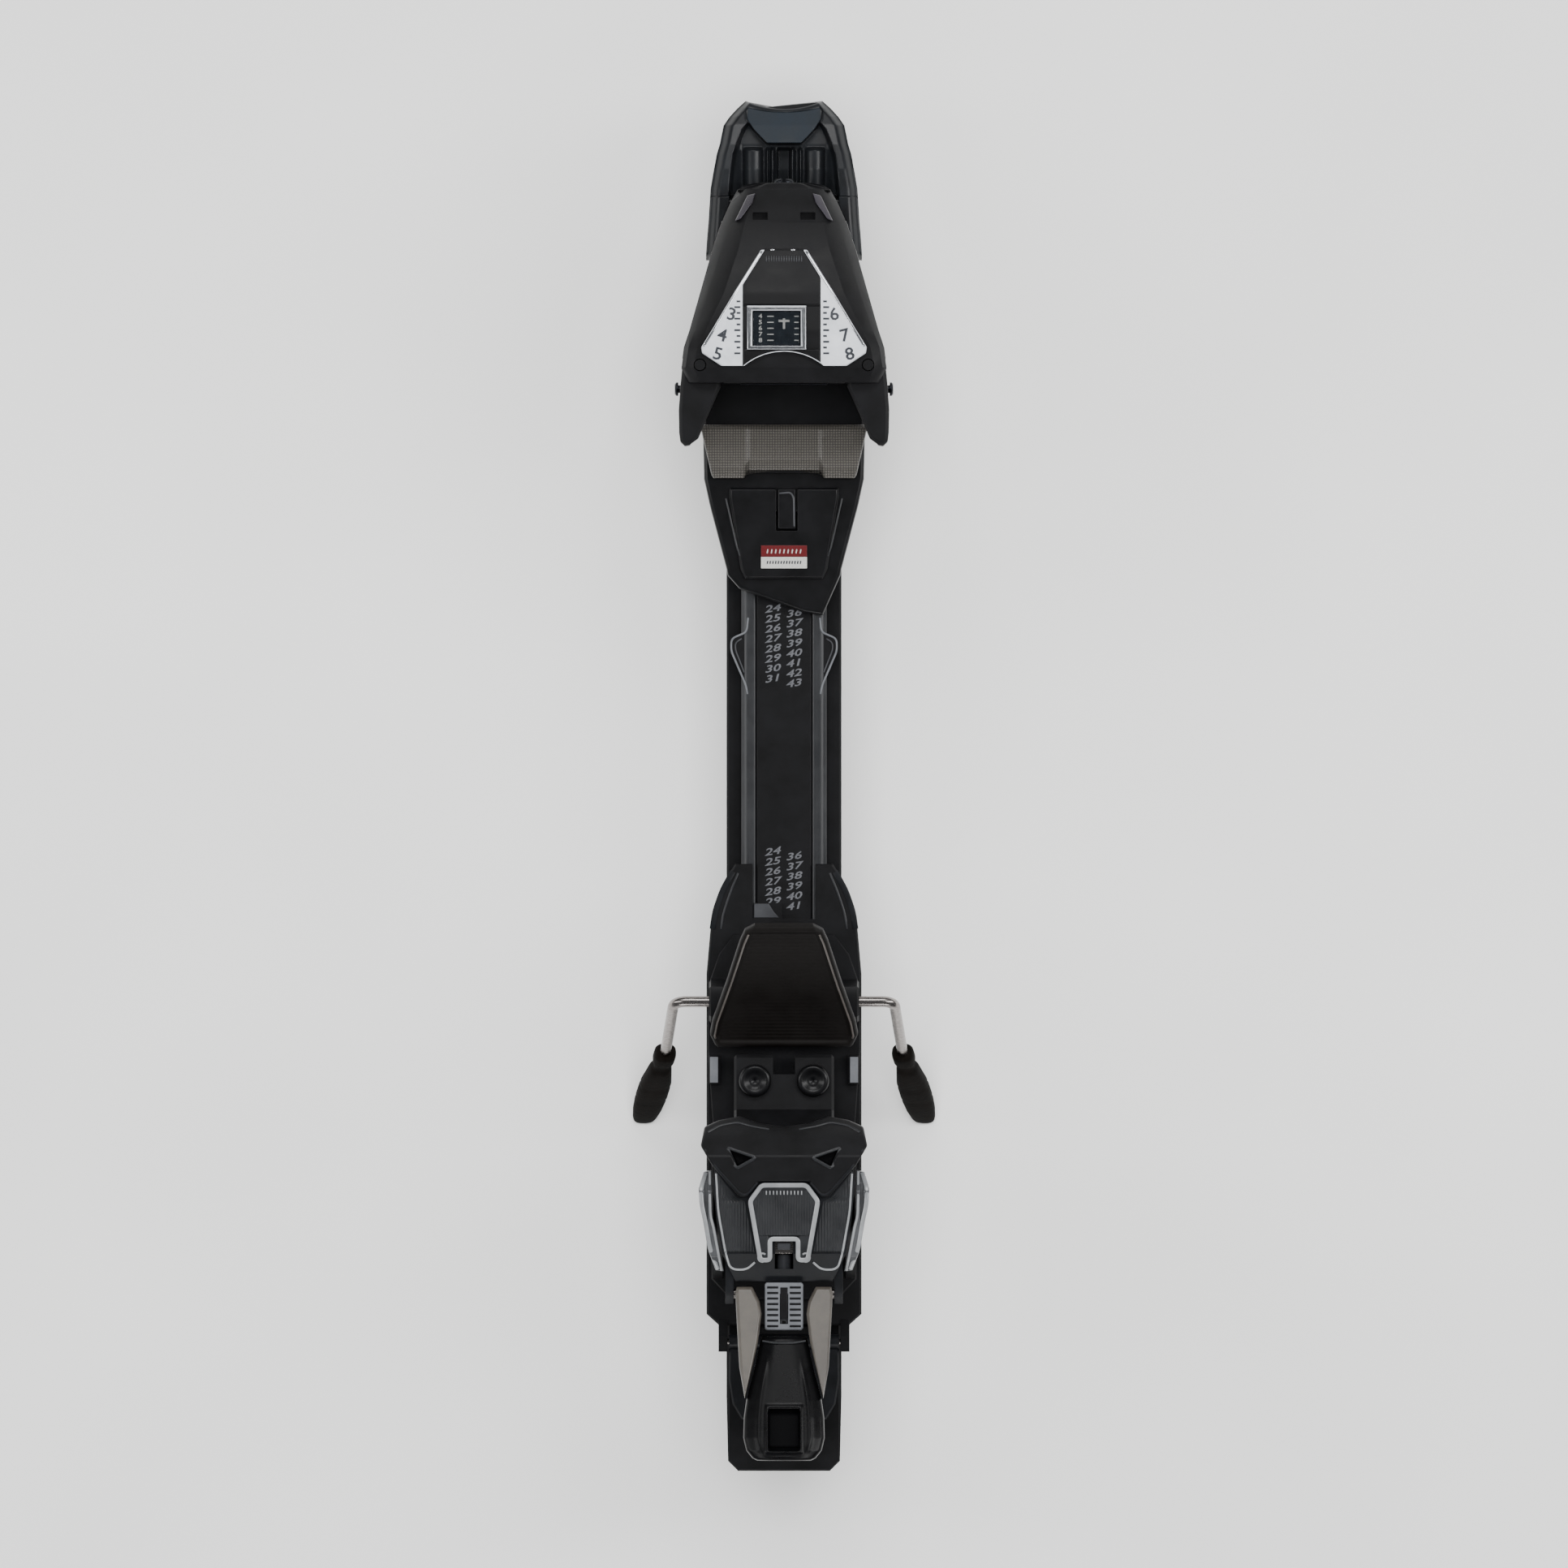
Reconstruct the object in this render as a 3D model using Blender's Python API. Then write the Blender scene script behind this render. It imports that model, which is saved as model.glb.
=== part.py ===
"""Alpine ski binding on an adjustable track: track, toe unit, brake and heel unit.

Every piece is one closed solid with its own name and material.  Lengths in this file are
millimetres and become metres when a mesh is made.  X runs across the ski, Y towards the ski
tip, Z up from the ski deck, with the origin on the deck under the middle of the track.
"""
import math

import bmesh
import bpy
from mathutils import Matrix, Vector

# ---------------------------------------------------------------- driving dimensions (mm)
MM = 0.001
GAP = 0.4                 # running clearance between pieces that slide or turn
SEAT = 0.3                # clearance between pieces that are fixed together

TRACK_HALF = 17.0         # half width of the T-shaped head that both units grip
TRACK_WEB = 13.5          # half width of the web under the head
BASE_HALF = 23.0          # half width of the track's base plate
BASE_T = 3.4              # thickness of the base plate
HEAD_T = 4.0              # thickness of the head
HEAD_TOP = 10.6           # top of the head above the ski deck
TRACK_FRONT, TRACK_REAR = 200.0, -245.0
BASE_FRONT, BASE_REAR = 203.0, -281.0

WALL = 5.2                # side walls of the sliding carriages
TOE_PLATE_T = 4.8         # thickness of the toe unit's sliding plate
HEEL_PLATE_T = 2.4        # thickness of the heel unit's sliding plate

TOE_HALF = 41.0           # half width of the toe housing at the wing pivots
TOE_TOP = 59.3            # highest point of the toe housing
WING_X, WING_Y = 33.5, 161.0
WING_R = 7.0              # round end of a wing about its pin
WING_Z0, WING_Z1 = 24.0, 54.0
PIN_R = 2.2
TOE_AXIS_Z = 31.0         # height of the toe spring's axis

AFD_T = 3.2               # thickness of the toe rest's sliding plate
AFD_FRONT, AFD_REAR = 137.7, 116.2

WIRE_R = 2.2              # brake wire
BRAKE_Y, BRAKE_Z = -93.0, 18.0
BRAKE_OUT = 44.0          # where the wire turns down beside the ski
BRAKE_DROP = 61.4         # degrees below level when deployed
BRAKE_TIP_X = 56.2         # distance of a tip from the centre line
PEDAL_UP = 30.0           # degrees the pedal stands up when the brake is deployed
PEDAL_Y, PEDAL_Z = -110.0, 24.0
PEDAL_T = 4.0

JAW_Y, JAW_Z = -178.0, 40.0
JAW_PIN_R = 2.8
HEEL_TOP = 76.0           # roof of the heel housing
HEEL_AXIS_Z = 62.0        # height of the heel spring's axis
LEVER_Y, LEVER_Z = -209.0, 62.0
LEVER_RISE = 0.32         # height gained per unit of length along the lever

Z_SLIDE = HEAD_TOP + 0.6
Z_TOE = Z_SLIDE + TOE_PLATE_T
Z_HEEL = Z_SLIDE + HEEL_PLATE_T

# half width, roof height and shoulder of the toe housing along Y
TOE_STATIONS = [(231.5, 18.5, 38.0, 8.6), (226.0, 21.5, 41.0, 8.8), (218.0, 25.0, 45.5, 9.2),
                (207.0, 28.7, 51.0, 10.4), (190.0, 33.5, 56.5, 9.6), (175.0, 37.7, 59.0, 6.6),
                (168.0, 40.0, TOE_TOP, 5.5), (160.0, TOE_HALF, TOE_TOP, 5.0),
                (154.0, 38.5, TOE_TOP - 0.8, 5.0)]

COLOURS = {
    "black": ((0.020, 0.020, 0.022), 0.48, 0.0),
    "soft_black": ((0.035, 0.033, 0.033), 0.75, 0.0),
    "anthracite": ((0.070, 0.075, 0.085), 0.42, 0.0),
    "mauve_grey": ((0.130, 0.115, 0.140), 0.40, 0.0),
    "smoke": ((0.260, 0.270, 0.290), 0.30, 0.2),
    "taupe": ((0.200, 0.185, 0.165), 0.45, 0.3),
    "grey": ((0.300, 0.305, 0.315), 0.50, 0.0),
    "silver": ((0.620, 0.630, 0.650), 0.25, 0.9),
    "chrome": ((0.780, 0.790, 0.800), 0.10, 1.0),
    "steel": ((0.560, 0.565, 0.570), 0.28, 1.0),
    "dark_steel": ((0.180, 0.180, 0.190), 0.38, 1.0),
    "white": ((0.750, 0.750, 0.740), 0.55, 0.0),
    "red": ((0.500, 0.030, 0.030), 0.50, 0.0),
    "clear": ((0.300, 0.320, 0.340), 0.08, 0.0),
}


def material(key, name):
    """One Principled material per node."""
    colour, rough, metal = COLOURS[key]
    mat = bpy.data.materials.new(name + "_finish")
    mat.use_nodes = True
    shader = mat.node_tree.nodes["Principled BSDF"]
    shader.inputs["Base Color"].default_value = (*colour, 1.0)
    shader.inputs["Roughness"].default_value = rough
    shader.inputs["Metallic"].default_value = metal
    return mat


def solid(name, verts, faces, key=None, origin=(0.0, 0.0, 0.0)):
    """A mesh object from millimetre points, its origin at the given point."""
    place = Vector(origin)
    mesh = bpy.data.meshes.new(name)
    mesh.from_pydata([tuple((Vector(v) - place) * MM) for v in verts], [], faces)
    work = bmesh.new()
    work.from_mesh(mesh)
    bmesh.ops.recalc_face_normals(work, faces=work.faces)
    work.to_mesh(mesh)
    work.free()
    obj = bpy.data.objects.new(name, mesh)
    bpy.context.scene.collection.objects.link(obj)
    obj.location = place * MM
    if key:
        mesh.materials.append(material(key, name))
    return obj


def rings(name, loops, key=None, origin=(0.0, 0.0, 0.0), closed=False):
    """Skin a row of equal loops; the two ends are capped unless the row closes on itself."""
    n = len(loops[0])
    verts = [p for loop in loops for p in loop]
    faces = []
    count = len(loops)
    for i in range(count if closed else count - 1):
        a, b = i * n, ((i + 1) % count) * n
        for j in range(n):
            k = (j + 1) % n
            faces.append((a + j, a + k, b + k, b + j))
    if not closed:
        faces.append(tuple(range(n))[::-1])
        faces.append(tuple(range((count - 1) * n, count * n)))
    return solid(name, verts, faces, key, origin)


def inset(outline, d):
    """Move every side of a plan outline inwards by d."""
    n = len(outline)
    area = sum(outline[i][0] * outline[(i + 1) % n][1] - outline[(i + 1) % n][0] * outline[i][1]
               for i in range(n))
    turn = 1.0 if area > 0 else -1.0
    result = []
    for i in range(n):
        p, q, r = (Vector(outline[i - 1]), Vector(outline[i]), Vector(outline[(i + 1) % n]))
        a, b = (q - p).normalized(), (r - q).normalized()
        na, nb = Vector((-a.y, a.x)) * turn, Vector((-b.y, b.x)) * turn
        mid = (na + nb)
        mid /= max(0.35, 1.0 + na.dot(nb))
        result.append((q.x + mid.x * d, q.y + mid.y * d))
    return result


def prism(name, outline, z0, z1, key=None, chamfer=0.0, origin=(0.0, 0.0, 0.0), rise=None):
    """A plan outline between two heights, its top edge chamfered; rise tilts it along Y."""
    levels = [(z0, 0.0), (z1 - chamfer, 0.0), (z1, chamfer)] if chamfer else [(z0, 0.0), (z1, 0.0)]
    loops = []
    for z, d in levels:
        pts = inset(outline, d) if d else outline
        lift = (lambda y: 0.0) if rise is None else (lambda y: rise[0] * (rise[1] - y))
        loops.append([(x, y, z + lift(y)) for x, y in pts])
    return rings(name, loops, key, origin)


def box(name, x0, x1, y0, y1, z0, z1, key=None, chamfer=0.0, origin=(0.0, 0.0, 0.0)):
    return prism(name, [(x0, y0), (x1, y0), (x1, y1), (x0, y1)], z0, z1, key, chamfer, origin)


def across(name, outline, x0, x1, key=None, chamfer=0.0, origin=(0.0, 0.0, 0.0)):
    """A side outline of (y, z) points run across from x0 to x1, both ends chamfered."""
    levels = [(x0, 0.0), (x1, 0.0)]
    if chamfer:
        levels = [(x0, chamfer), (x0 + chamfer, 0.0), (x1 - chamfer, 0.0), (x1, chamfer)]
    loops = [[(x, y, z) for y, z in (inset(outline, d) if d else outline)] for x, d in levels]
    return rings(name, loops, key, origin)


def along(name, outline, y0, y1, key=None, origin=(0.0, 0.0, 0.0)):
    """A cross outline of (x, z) points run along Y."""
    return rings(name, [[(x, y, z) for x, z in outline] for y in (y0, y1)], key, origin)


def turned(name, profile, axis, centre, key=None, sides=16, closed=False, origin=None):
    """A profile of (radius, distance) points turned about an axis through a centre."""
    to = Vector((0.0, 0.0, 1.0)).rotation_difference(Vector(axis)).to_matrix()
    base = Vector(centre)
    loops = []
    for radius, t in profile:
        loop = []
        for i in range(sides):
            a = 2.0 * math.pi * i / sides
            loop.append(tuple(base + to @ Vector((radius * math.cos(a), radius * math.sin(a), t))))
        loops.append(loop)
    return rings(name, loops, key, centre if origin is None else origin, closed)


def rod(name, axis, centre, radius, t0, t1, key=None, sides=16, origin=None):
    return turned(name, [(radius, t0), (radius, t1)], axis, centre, key, sides, False, origin)


def tube(name, path, radius, key=None, sides=8, origin=(0.0, 0.0, 0.0)):
    """A round wire along a path, its section carried along without twist."""
    pts = [Vector(p) for p in path]
    ahead = [(pts[min(i + 1, len(pts) - 1)] - pts[max(i - 1, 0)]).normalized()
             for i in range(len(pts))]
    side = ahead[0].orthogonal().normalized()
    loops = []
    for i, p in enumerate(pts):
        if i:
            side = ahead[i - 1].rotation_difference(ahead[i]) @ side
        side = (side - ahead[i] * side.dot(ahead[i])).normalized()
        up = ahead[i].cross(side)
        loops.append([tuple(p + side * radius * math.cos(2 * math.pi * j / sides)
                            + up * radius * math.sin(2 * math.pi * j / sides))
                      for j in range(sides)])
    return rings(name, loops, key, origin)


def coil(name, axis, centre, radius, wire, length, turns, key, per_turn=12, sides=6):
    """A compression spring: a helix about an axis, starting at the centre."""
    to = Vector((0.0, 0.0, 1.0)).rotation_difference(Vector(axis)).to_matrix()
    count = int(turns * per_turn)
    path = []
    for i in range(count + 1):
        a = 2.0 * math.pi * i / per_turn
        path.append(Vector(centre) + to @ Vector((radius * math.cos(a), radius * math.sin(a),
                                                  length * i / count)))
    return tube(name, path, wire, key, sides)


def apply_op(obj, other, operation):
    other.hide_render = True
    other.display_type = "WIRE"
    mod = obj.modifiers.new(operation.lower() + "_" + other.name, "BOOLEAN")
    mod.operation = operation
    mod.solver = "EXACT"
    mod.object = other
    return obj


def cut(obj, *others):
    for other in others:
        apply_op(obj, other, "DIFFERENCE")
    return obj


def add(obj, *others):
    for other in others:
        apply_op(obj, other, "UNION")
    return obj


def keep(obj, other):
    return apply_op(obj, other, "INTERSECT")


def both(points):
    """Close a right-hand plan outline with its mirror image."""
    left = [(-x, y) for x, y in reversed(points) if abs(x) > 1e-6]
    return points + left


def flip(points, side):
    """Put a right-hand plan outline on the wanted side."""
    return [(x * side, y) for x, y in points]


def arc(cx, cy, r, a0, a1, n):
    return [(cx + r * math.cos(math.radians(a0 + (a1 - a0) * i / n)),
             cy + r * math.sin(math.radians(a0 + (a1 - a0) * i / n))) for i in range(n + 1)]


def table(rows, y, column):
    """Value of a station table at y, straight between stations."""
    for a, b in zip(rows, rows[1:]):
        if b[0] <= y <= a[0]:
            t = (a[0] - y) / (a[0] - b[0])
            return a[column] + (b[column] - a[column]) * t
    return rows[0][column] if y > rows[0][0] else rows[-1][column]


def roof(y):
    return table(TOE_STATIONS, y, 2)


def sides():
    return (("left", -1.0), ("right", 1.0))


# ---------------------------------------------------------------- track
def build_track():
    base = prism("track_base", both([(18.0, BASE_FRONT), (BASE_HALF, BASE_FRONT - 6.0),
                                     (BASE_HALF, BASE_REAR + 30.0), (BASE_HALF - 0.6, BASE_REAR + 4.0),
                                     (BASE_HALF - 4.6, BASE_REAR)]), 0.0, BASE_T, "black", 0.6)
    low = HEAD_TOP - HEAD_T
    head = along("track_head_form", [(-TRACK_WEB, BASE_T - 0.5), (TRACK_WEB, BASE_T - 0.5),
                                     (TRACK_WEB, low), (TRACK_HALF, low),
                                     (TRACK_HALF, HEAD_TOP - 1.4), (TRACK_HALF - 1.8, HEAD_TOP),
                                     (1.8 - TRACK_HALF, HEAD_TOP), (-TRACK_HALF, HEAD_TOP - 1.4),
                                     (-TRACK_HALF, low), (-TRACK_WEB, low)],
                 TRACK_REAR, TRACK_FRONT)
    stop = prism("track_stop_form", both([(14.0, 33.0), (21.8, 47.0), (21.8, 52.6), (14.0, 54.6)][::-1]),
                 BASE_T - 0.5, HEAD_TOP - 0.2)
    add(base, head, stop)
    groove = box("scale_seat_form", -11.3, 11.3, -62.3, 90.3, HEAD_TOP - 1.5, HEAD_TOP + 3.0)
    cut(base, groove)
    for label, y in (("front", 186.0), ("middle", -112.0), ("rear", -206.0)):
        cut(base, rod("screw_bore_%s" % label, (0, 0, 1), (0.0, y, 0.0), 2.8, -1.0, 12.0, None, 12),
            rod("screw_seat_%s" % label, (0, 0, 1), (0.0, y, 0.0), 5.2, 6.0, 12.0, None, 16))
        turned("track_screw_%s" % label, [(2.4, 0.4), (2.4, 6.4), (4.8, 6.4), (4.8, 8.4), (3.8, 9.6)],
               (0, 0, 1), (0.0, y, 0.0), "dark_steel", 12)
    box("length_scale_strip", -11.0, 11.0, -62.0, 90.0, HEAD_TOP - 1.2, HEAD_TOP + 0.2, "soft_black", 0.3)
    prism("track_end_stop", both([(8.0, -252.0), (14.0, -255.0), (14.0, -265.0), (9.0, -269.0)]),
          BASE_T + SEAT, HEAD_TOP - 1.0, "anthracite", 1.2)
    return base


def grip_walls(label, y0, y1):
    """The two hooked walls that hold a carriage on the track's head."""
    outer = TRACK_HALF + GAP + WALL
    hook = HEAD_TOP - HEAD_T - GAP
    walls = []
    for name, s in sides():
        pts = [(TRACK_WEB + 0.5, BASE_T + GAP), (outer, BASE_T + GAP), (outer, Z_SLIDE + 0.4),
               (TRACK_HALF + GAP, Z_SLIDE + 0.4), (TRACK_HALF + GAP, hook), (TRACK_WEB + 0.5, hook)]
        walls.append(along("%s_wall_%s" % (label, name), flip(pts, s), y0, y1))
    return walls


# ---------------------------------------------------------------- toe unit
LATCH_HINGE = (0.0, 111.0, Z_TOE + 1.6)


def build_toe_slide():
    outline = [(21.5, 228.4), (24.3, 227.4), (24.3, 201.2), (30.0, 199.0), (31.5, 160.0), (32.4, 135.0),
               (32.0, 116.0), (29.6, 105.0), (23.0, 80.0), (22.6, 77.5), (15.5, 61.4), (8.0, 62.6),
               (-17.8, 72.0), (-22.6, 77.5), (-23.0, 80.0), (-29.6, 105.0), (-32.0, 116.0),
               (-32.4, 135.0), (-31.5, 160.0), (-30.0, 199.0), (-24.3, 201.2), (-24.3, 227.4),
               (-21.5, 228.4)]
    plate = prism("toe_slide_plate", outline, Z_SLIDE, Z_TOE, "black", 1.0)
    add(plate, *grip_walls("toe", 86.0, 220.0))
    cut(plate, box("toe_latch_slot", -3.2, 5.4, 95.2, 103.0, Z_SLIDE - 2.0, Z_TOE + 2.0))
    top = Z_TOE + SEAT
    cover = prism("toe_slide_cover", both([(21.8, 112.5), (22.0, 109.0), (17.4, 80.0), (15.4, 76.0)]),
                  top, top + 2.4, "anthracite", 0.9)
    cut(cover, box("toe_latch_opening", -3.2, 5.4, 95.2, 114.5, top - 1.0, top + 4.0))
    latch = box("toe_length_latch", -2.5, 4.7, 96.0, 112.0, Z_TOE + 0.6, Z_TOE + 2.6, "black", 0.4,
                LATCH_HINGE)
    add(latch, box("toe_latch_tooth_form", -2.2, 4.4, 96.5, 101.0, Z_SLIDE + 0.1, Z_TOE + 1.2))
    box("toe_label", -9.2, 9.2, 80.2, 89.4, top + 2.7, top + 3.1, "white")
    return plate


def build_toe_nose():
    rows = [(202.0, 29.0, 15.6, 13.6), (219.0, 30.0, 15.6, 13.8), (231.8, 29.2, 15.6, 13.8),
            (232.0, 29.0, 22.0, 17.0), (239.0, 28.2, 21.0, 16.6), (246.0, 27.0, 17.5, 15.4),
            (250.0, 25.9, 14.0, 14.2), (257.5, 24.3, 9.0, 12.0), (263.0, 20.6, 7.0, 9.5),
            (268.0, 14.8, 5.5, 7.0)]
    loops = []
    for y, w, mid, edge in rows:
        loops.append([(-w, y, 0.8), (w, y, 0.8), (w, y, edge - 3.0), (w - 2.2, y, edge),
                      (w * 0.55, y, (mid + edge) / 2), (w * 0.25, y, mid), (-w * 0.25, y, mid),
                      (-w * 0.55, y, (mid + edge) / 2), (2.2 - w, y, edge), (-w, y, edge - 3.0)])
    nose = rings("toe_nose_cover", loops, "anthracite")
    cut(nose, box("nose_inside_form", -24.8, 24.8, 190.0, 228.8, -2.0, 30.0),
        rod("nose_front_form", (0, 0, 1), (0.0, 303.7, 0.0), 39.3, -2.0, 30.0, None, 48))
    for name, s in sides():
        bay = flip([(5.0, 231.0), (20.0, 231.0), (18.6, 243.0), (15.0, 250.0), (7.0, 252.0),
                    (5.0, 250.0)], s)
        cut(nose, prism("nose_bay_form_%s" % name, bay, 10.5, 40.0))
    cut(nose, box("nose_channel_form", -2.8, 2.8, 231.0, 251.0, 9.0, 40.0))
    return nose


def skin(x, y):
    """Height of the toe housing's top skin: flat in the middle, then a facet down each shoulder."""
    w, sh = table(TOE_STATIONS, y, 1), table(TOE_STATIONS, y, 3)
    over = min(max(abs(x) - (w - sh), 0.0), sh * 0.65)
    return roof(y) - over * 0.4 / 0.65


def section(y, w, top, sh, low):
    return [(-w, y, low), (w, y, low), (w, y, top - sh), (w - sh * 0.35, y, top - sh * 0.4),
            (w - sh, y, top), (sh - w, y, top), (sh * 0.35 - w, y, top - sh * 0.4), (-w, y, top - sh)]


def build_toe_housing():
    low = Z_TOE + SEAT
    housing = rings("toe_housing", [section(y, w, t, s, low) for y, w, t, s in TOE_STATIONS], "black")
    z = TOE_AXIS_Z
    cut(housing,
        box("toe_spring_room", -9.2, 9.2, 170.0, 209.0, z - 9.0, z + 9.4),
        box("toe_pointer_room", -4.0, 4.0, 170.0, 204.0, z + 8.0, 49.0),
        box("toe_window_room", -12.6, 6.7, 168.4, 182.6, 47.0, 66.0),
        rod("toe_screw_bore", (0, 1, 0), (0.0, 205.0, z), 3.1, 0.0, 40.0, None, 16),
        rod("toe_rod_bore", (0, 1, 0), (0.0, 150.0, z), 3.0, 0.0, 22.0, None, 16),
        box("toe_yoke_room", -18.0, 18.0, 140.0, 157.2, z - 5.0, z + 5.0))
    for name, s in sides():
        zz = (WING_Z0 - GAP, WING_Z1 + GAP)
        cut(housing,
            rod("wing_room_%s" % name, (0, 0, 1), (s * WING_X, WING_Y, 0.0), WING_R + 0.6, zz[0], zz[1],
                None, 24),
            box("wing_side_%s" % name, min(s * 24.2, s * 60), max(s * 24.2, s * 60), 130.0, WING_Y,
                zz[0], zz[1]),
            box("wing_arm_room_%s" % name, min(s * 17.6, s * 30), max(s * 17.6, s * 30), 130.0, 164.4,
                z - 3.6, z + 3.6),
            rod("wing_pin_bore_%s" % name, (0, 0, 1), (s * WING_X, WING_Y, 0.0), PIN_R + SEAT,
                low + 1.0, TOE_TOP + 4.0, None, 12))
        rod("wing_pin_%s" % name, (0, 0, 1), (s * WING_X, WING_Y, 0.0), PIN_R, low + 1.4, TOE_TOP + 0.6,
            "steel", 12)
        y = 220.6
        cut(housing, box("toe_cover_seat_%s" % name, s * 9.5 - 3.0, s * 9.5 + 3.0, y - 1.5, y + 1.5,
                         roof(y) - 4.0, roof(y) + 6.0))
        trim = [(11.4, 229.8), (14.6, 229.0), (19.6, 218.6), (17.4, 219.4), (12.6, 226.0)]
        loops = [[(s * x, yy, skin(x, yy) + up) for x, yy in trim] for up in (SEAT, 1.4)]
        rings("toe_shoulder_trim_%s" % name, loops, "mauve_grey")
    return housing


def build_toe_top():
    rows = [(207.0, 9.2), (190.0, 19.8), (175.0, 28.7), (168.0, 33.0), (165.6, 32.6), (160.6, 25.0)]
    loops = []
    for y, w in rows:
        low, top = roof(y) + SEAT, roof(y) + 2.1
        loops.append([(-w, y, low), (w, y, low), (w, y, top - 0.7), (w - 1.0, y, top), (1.0 - w, y, top),
                      (-w, y, top - 0.7)])
    plate = rings("toe_top_plate", loops, "silver")
    cut(plate, rod("top_plate_arc", (0, 0, 1), (0.0, 141.3, 0.0), 25.0, 40.0, 80.0, None, 40),
        box("top_plate_window", -12.6, 6.7, 168.4, 182.6, 50.0, 70.0))
    ys = (184.2, 175.0, 167.2)
    yi = (182.9, 175.0, 168.6)
    outer = [(-14.6, y) for y in ys] + [(8.7, y) for y in reversed(ys)]
    inner = [(-13.0, y) for y in yi] + [(7.1, y) for y in reversed(yi)]
    loops = [[(x, y, roof(y) + 2.4) for x, y in outer], [(x, y, roof(y) + 3.6) for x, y in outer],
             [(x, y, roof(y) + 3.6) for x, y in inner], [(x, y, roof(y) + 2.4) for x, y in inner]]
    rings("toe_window_frame", loops, "chrome", closed=True)
    yl = (182.2, 175.0, 168.8)
    pane = [(-12.2, y) for y in yl] + [(6.3, y) for y in reversed(yl)]
    rings("toe_window_pane", [[(x, y, roof(y) + up) for x, y in pane] for up in (0.9, 1.9)], "clear")
    return plate


def build_toe_setting():
    z = TOE_AXIS_Z
    draw = rod("toe_draw_rod", (0, 1, 0), (0.0, 156.0, z), 2.5, 0.0, 43.0, "steel", 12,
               (0.0, 155.0, z))
    add(draw, box("toe_yoke_form", -17.4, 17.4, 153.4, 156.8, z - 4.0, z + 4.0))
    coil("toe_spring", (0, 1, 0), (0.0, 171.9, z), 6.6, 1.3, 20.4, 5.0, "dark_steel")
    nut = box("toe_spring_nut", -8.3, 8.3, 194.0, 206.0, z - 8.2, z + 8.2, "steel", 0.8,
              (0.0, 200.0, z))
    cut(nut, rod("toe_nut_bore", (0, 1, 0), (0.0, 190.0, z), 3.0, 0.0, 20.0, None, 12))
    pointer = across("toe_pointer", [(176.0, 46.6), (196.0, 46.6), (196.0, z + 8.5), (200.0, z + 8.5),
                                     (200.0, 48.2), (179.4, 48.2), (179.4, 55.0), (177.4, 55.0),
                                     (177.4, 48.2), (176.0, 48.2)], -3.0, 3.0, "white", 0.0,
                     (0.0, 198.0, 47.0))
    screw = turned("toe_setting_screw", [(2.6, 0.0), (2.6, 33.0), (4.2, 33.0), (4.2, 35.4), (3.4, 36.2)],
                   (0, 1, 0), (0.0, 199.5, z), "steel", 16)
    cut(screw, box("toe_screw_slot", -0.7, 0.7, 234.2, 242.0, z - 6.0, z + 6.0))
    return draw, nut, pointer, screw


def build_wing(name, s):
    pin = (s * WING_X, WING_Y, WING_Z0)
    head = arc(WING_X, WING_Y, WING_R, 0, 180, 8)
    outer = [(37.6, 129.2), (39.6, 128.8), (41.4, 130.6), (41.8, 134.0), (42.0, 143.0), (41.3, 153.0)]
    low = head + [(27.6, 155.0), (32.4, 146.0), (35.0, 138.0), (36.0, 131.6)] + outer
    high = head + [(25.6, 155.2), (25.2, 152.6), (27.8, 146.6), (31.2, 139.0), (34.2, 131.8)] + outer
    wing = prism("toe_wing_%s" % name, flip(low, s), WING_Z0, 43.0, "black", 0.0, pin)
    add(wing, prism("wing_lip_%s" % name, flip(high, s), 41.6, WING_Z1, None, 1.2),
        box("wing_arm_%s" % name, min(s * 18.5, s * 30), max(s * 18.5, s * 30), 158.5, 163.5,
            TOE_AXIS_Z - 3.0, TOE_AXIS_Z + 3.0))
    cut(wing, rod("wing_bore_%s" % name, (0, 0, 1), pin, PIN_R + GAP, -2.0, 34.0, None, 12),
        rod("wing_stud_bore_%s" % name, (1, 0, 0), (s * 37.0, 151.5, 47.0), 2.0, min(0.0, s * 9),
            max(0.0, s * 9), None, 10))
    turned("wing_stud_%s" % name, [(1.6, 0.4), (1.6, 5.2), (2.8, 5.2), (2.8, 6.0), (2.0, 6.6)],
           (s, 0, 0), (s * 37.0, 151.5, 47.0), "steel", 12)
    return wing


def build_toe_rest():
    low = Z_TOE + SEAT
    guide = across("toe_rest_guide", [(118.4, low), (118.4, low + 2.6), (124.0, low + 2.6),
                                      (124.0, low + 4.0), (130.0, low + 4.0), (130.0, low + 2.6),
                                      (136.0, low + 2.6), (136.0, low)], -25.0, 25.0, "black", 0.0)
    z = low + 3.0
    plate = prism("toe_rest_plate", both([(32.4, AFD_FRONT), (33.4, AFD_FRONT - 1.4), (28.9, AFD_REAR + 1.0),
                                          (28.0, AFD_REAR), (16.0, AFD_REAR), (14.6, AFD_REAR + 3.1)]),
                  z, z + AFD_T, "taupe", 0.7, (0.0, 127.0, z))
    cut(plate, box("toe_rest_groove", -40.0, 40.0, 123.6, 130.4, z - 1.0, low + 4.4))
    return guide, plate


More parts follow.
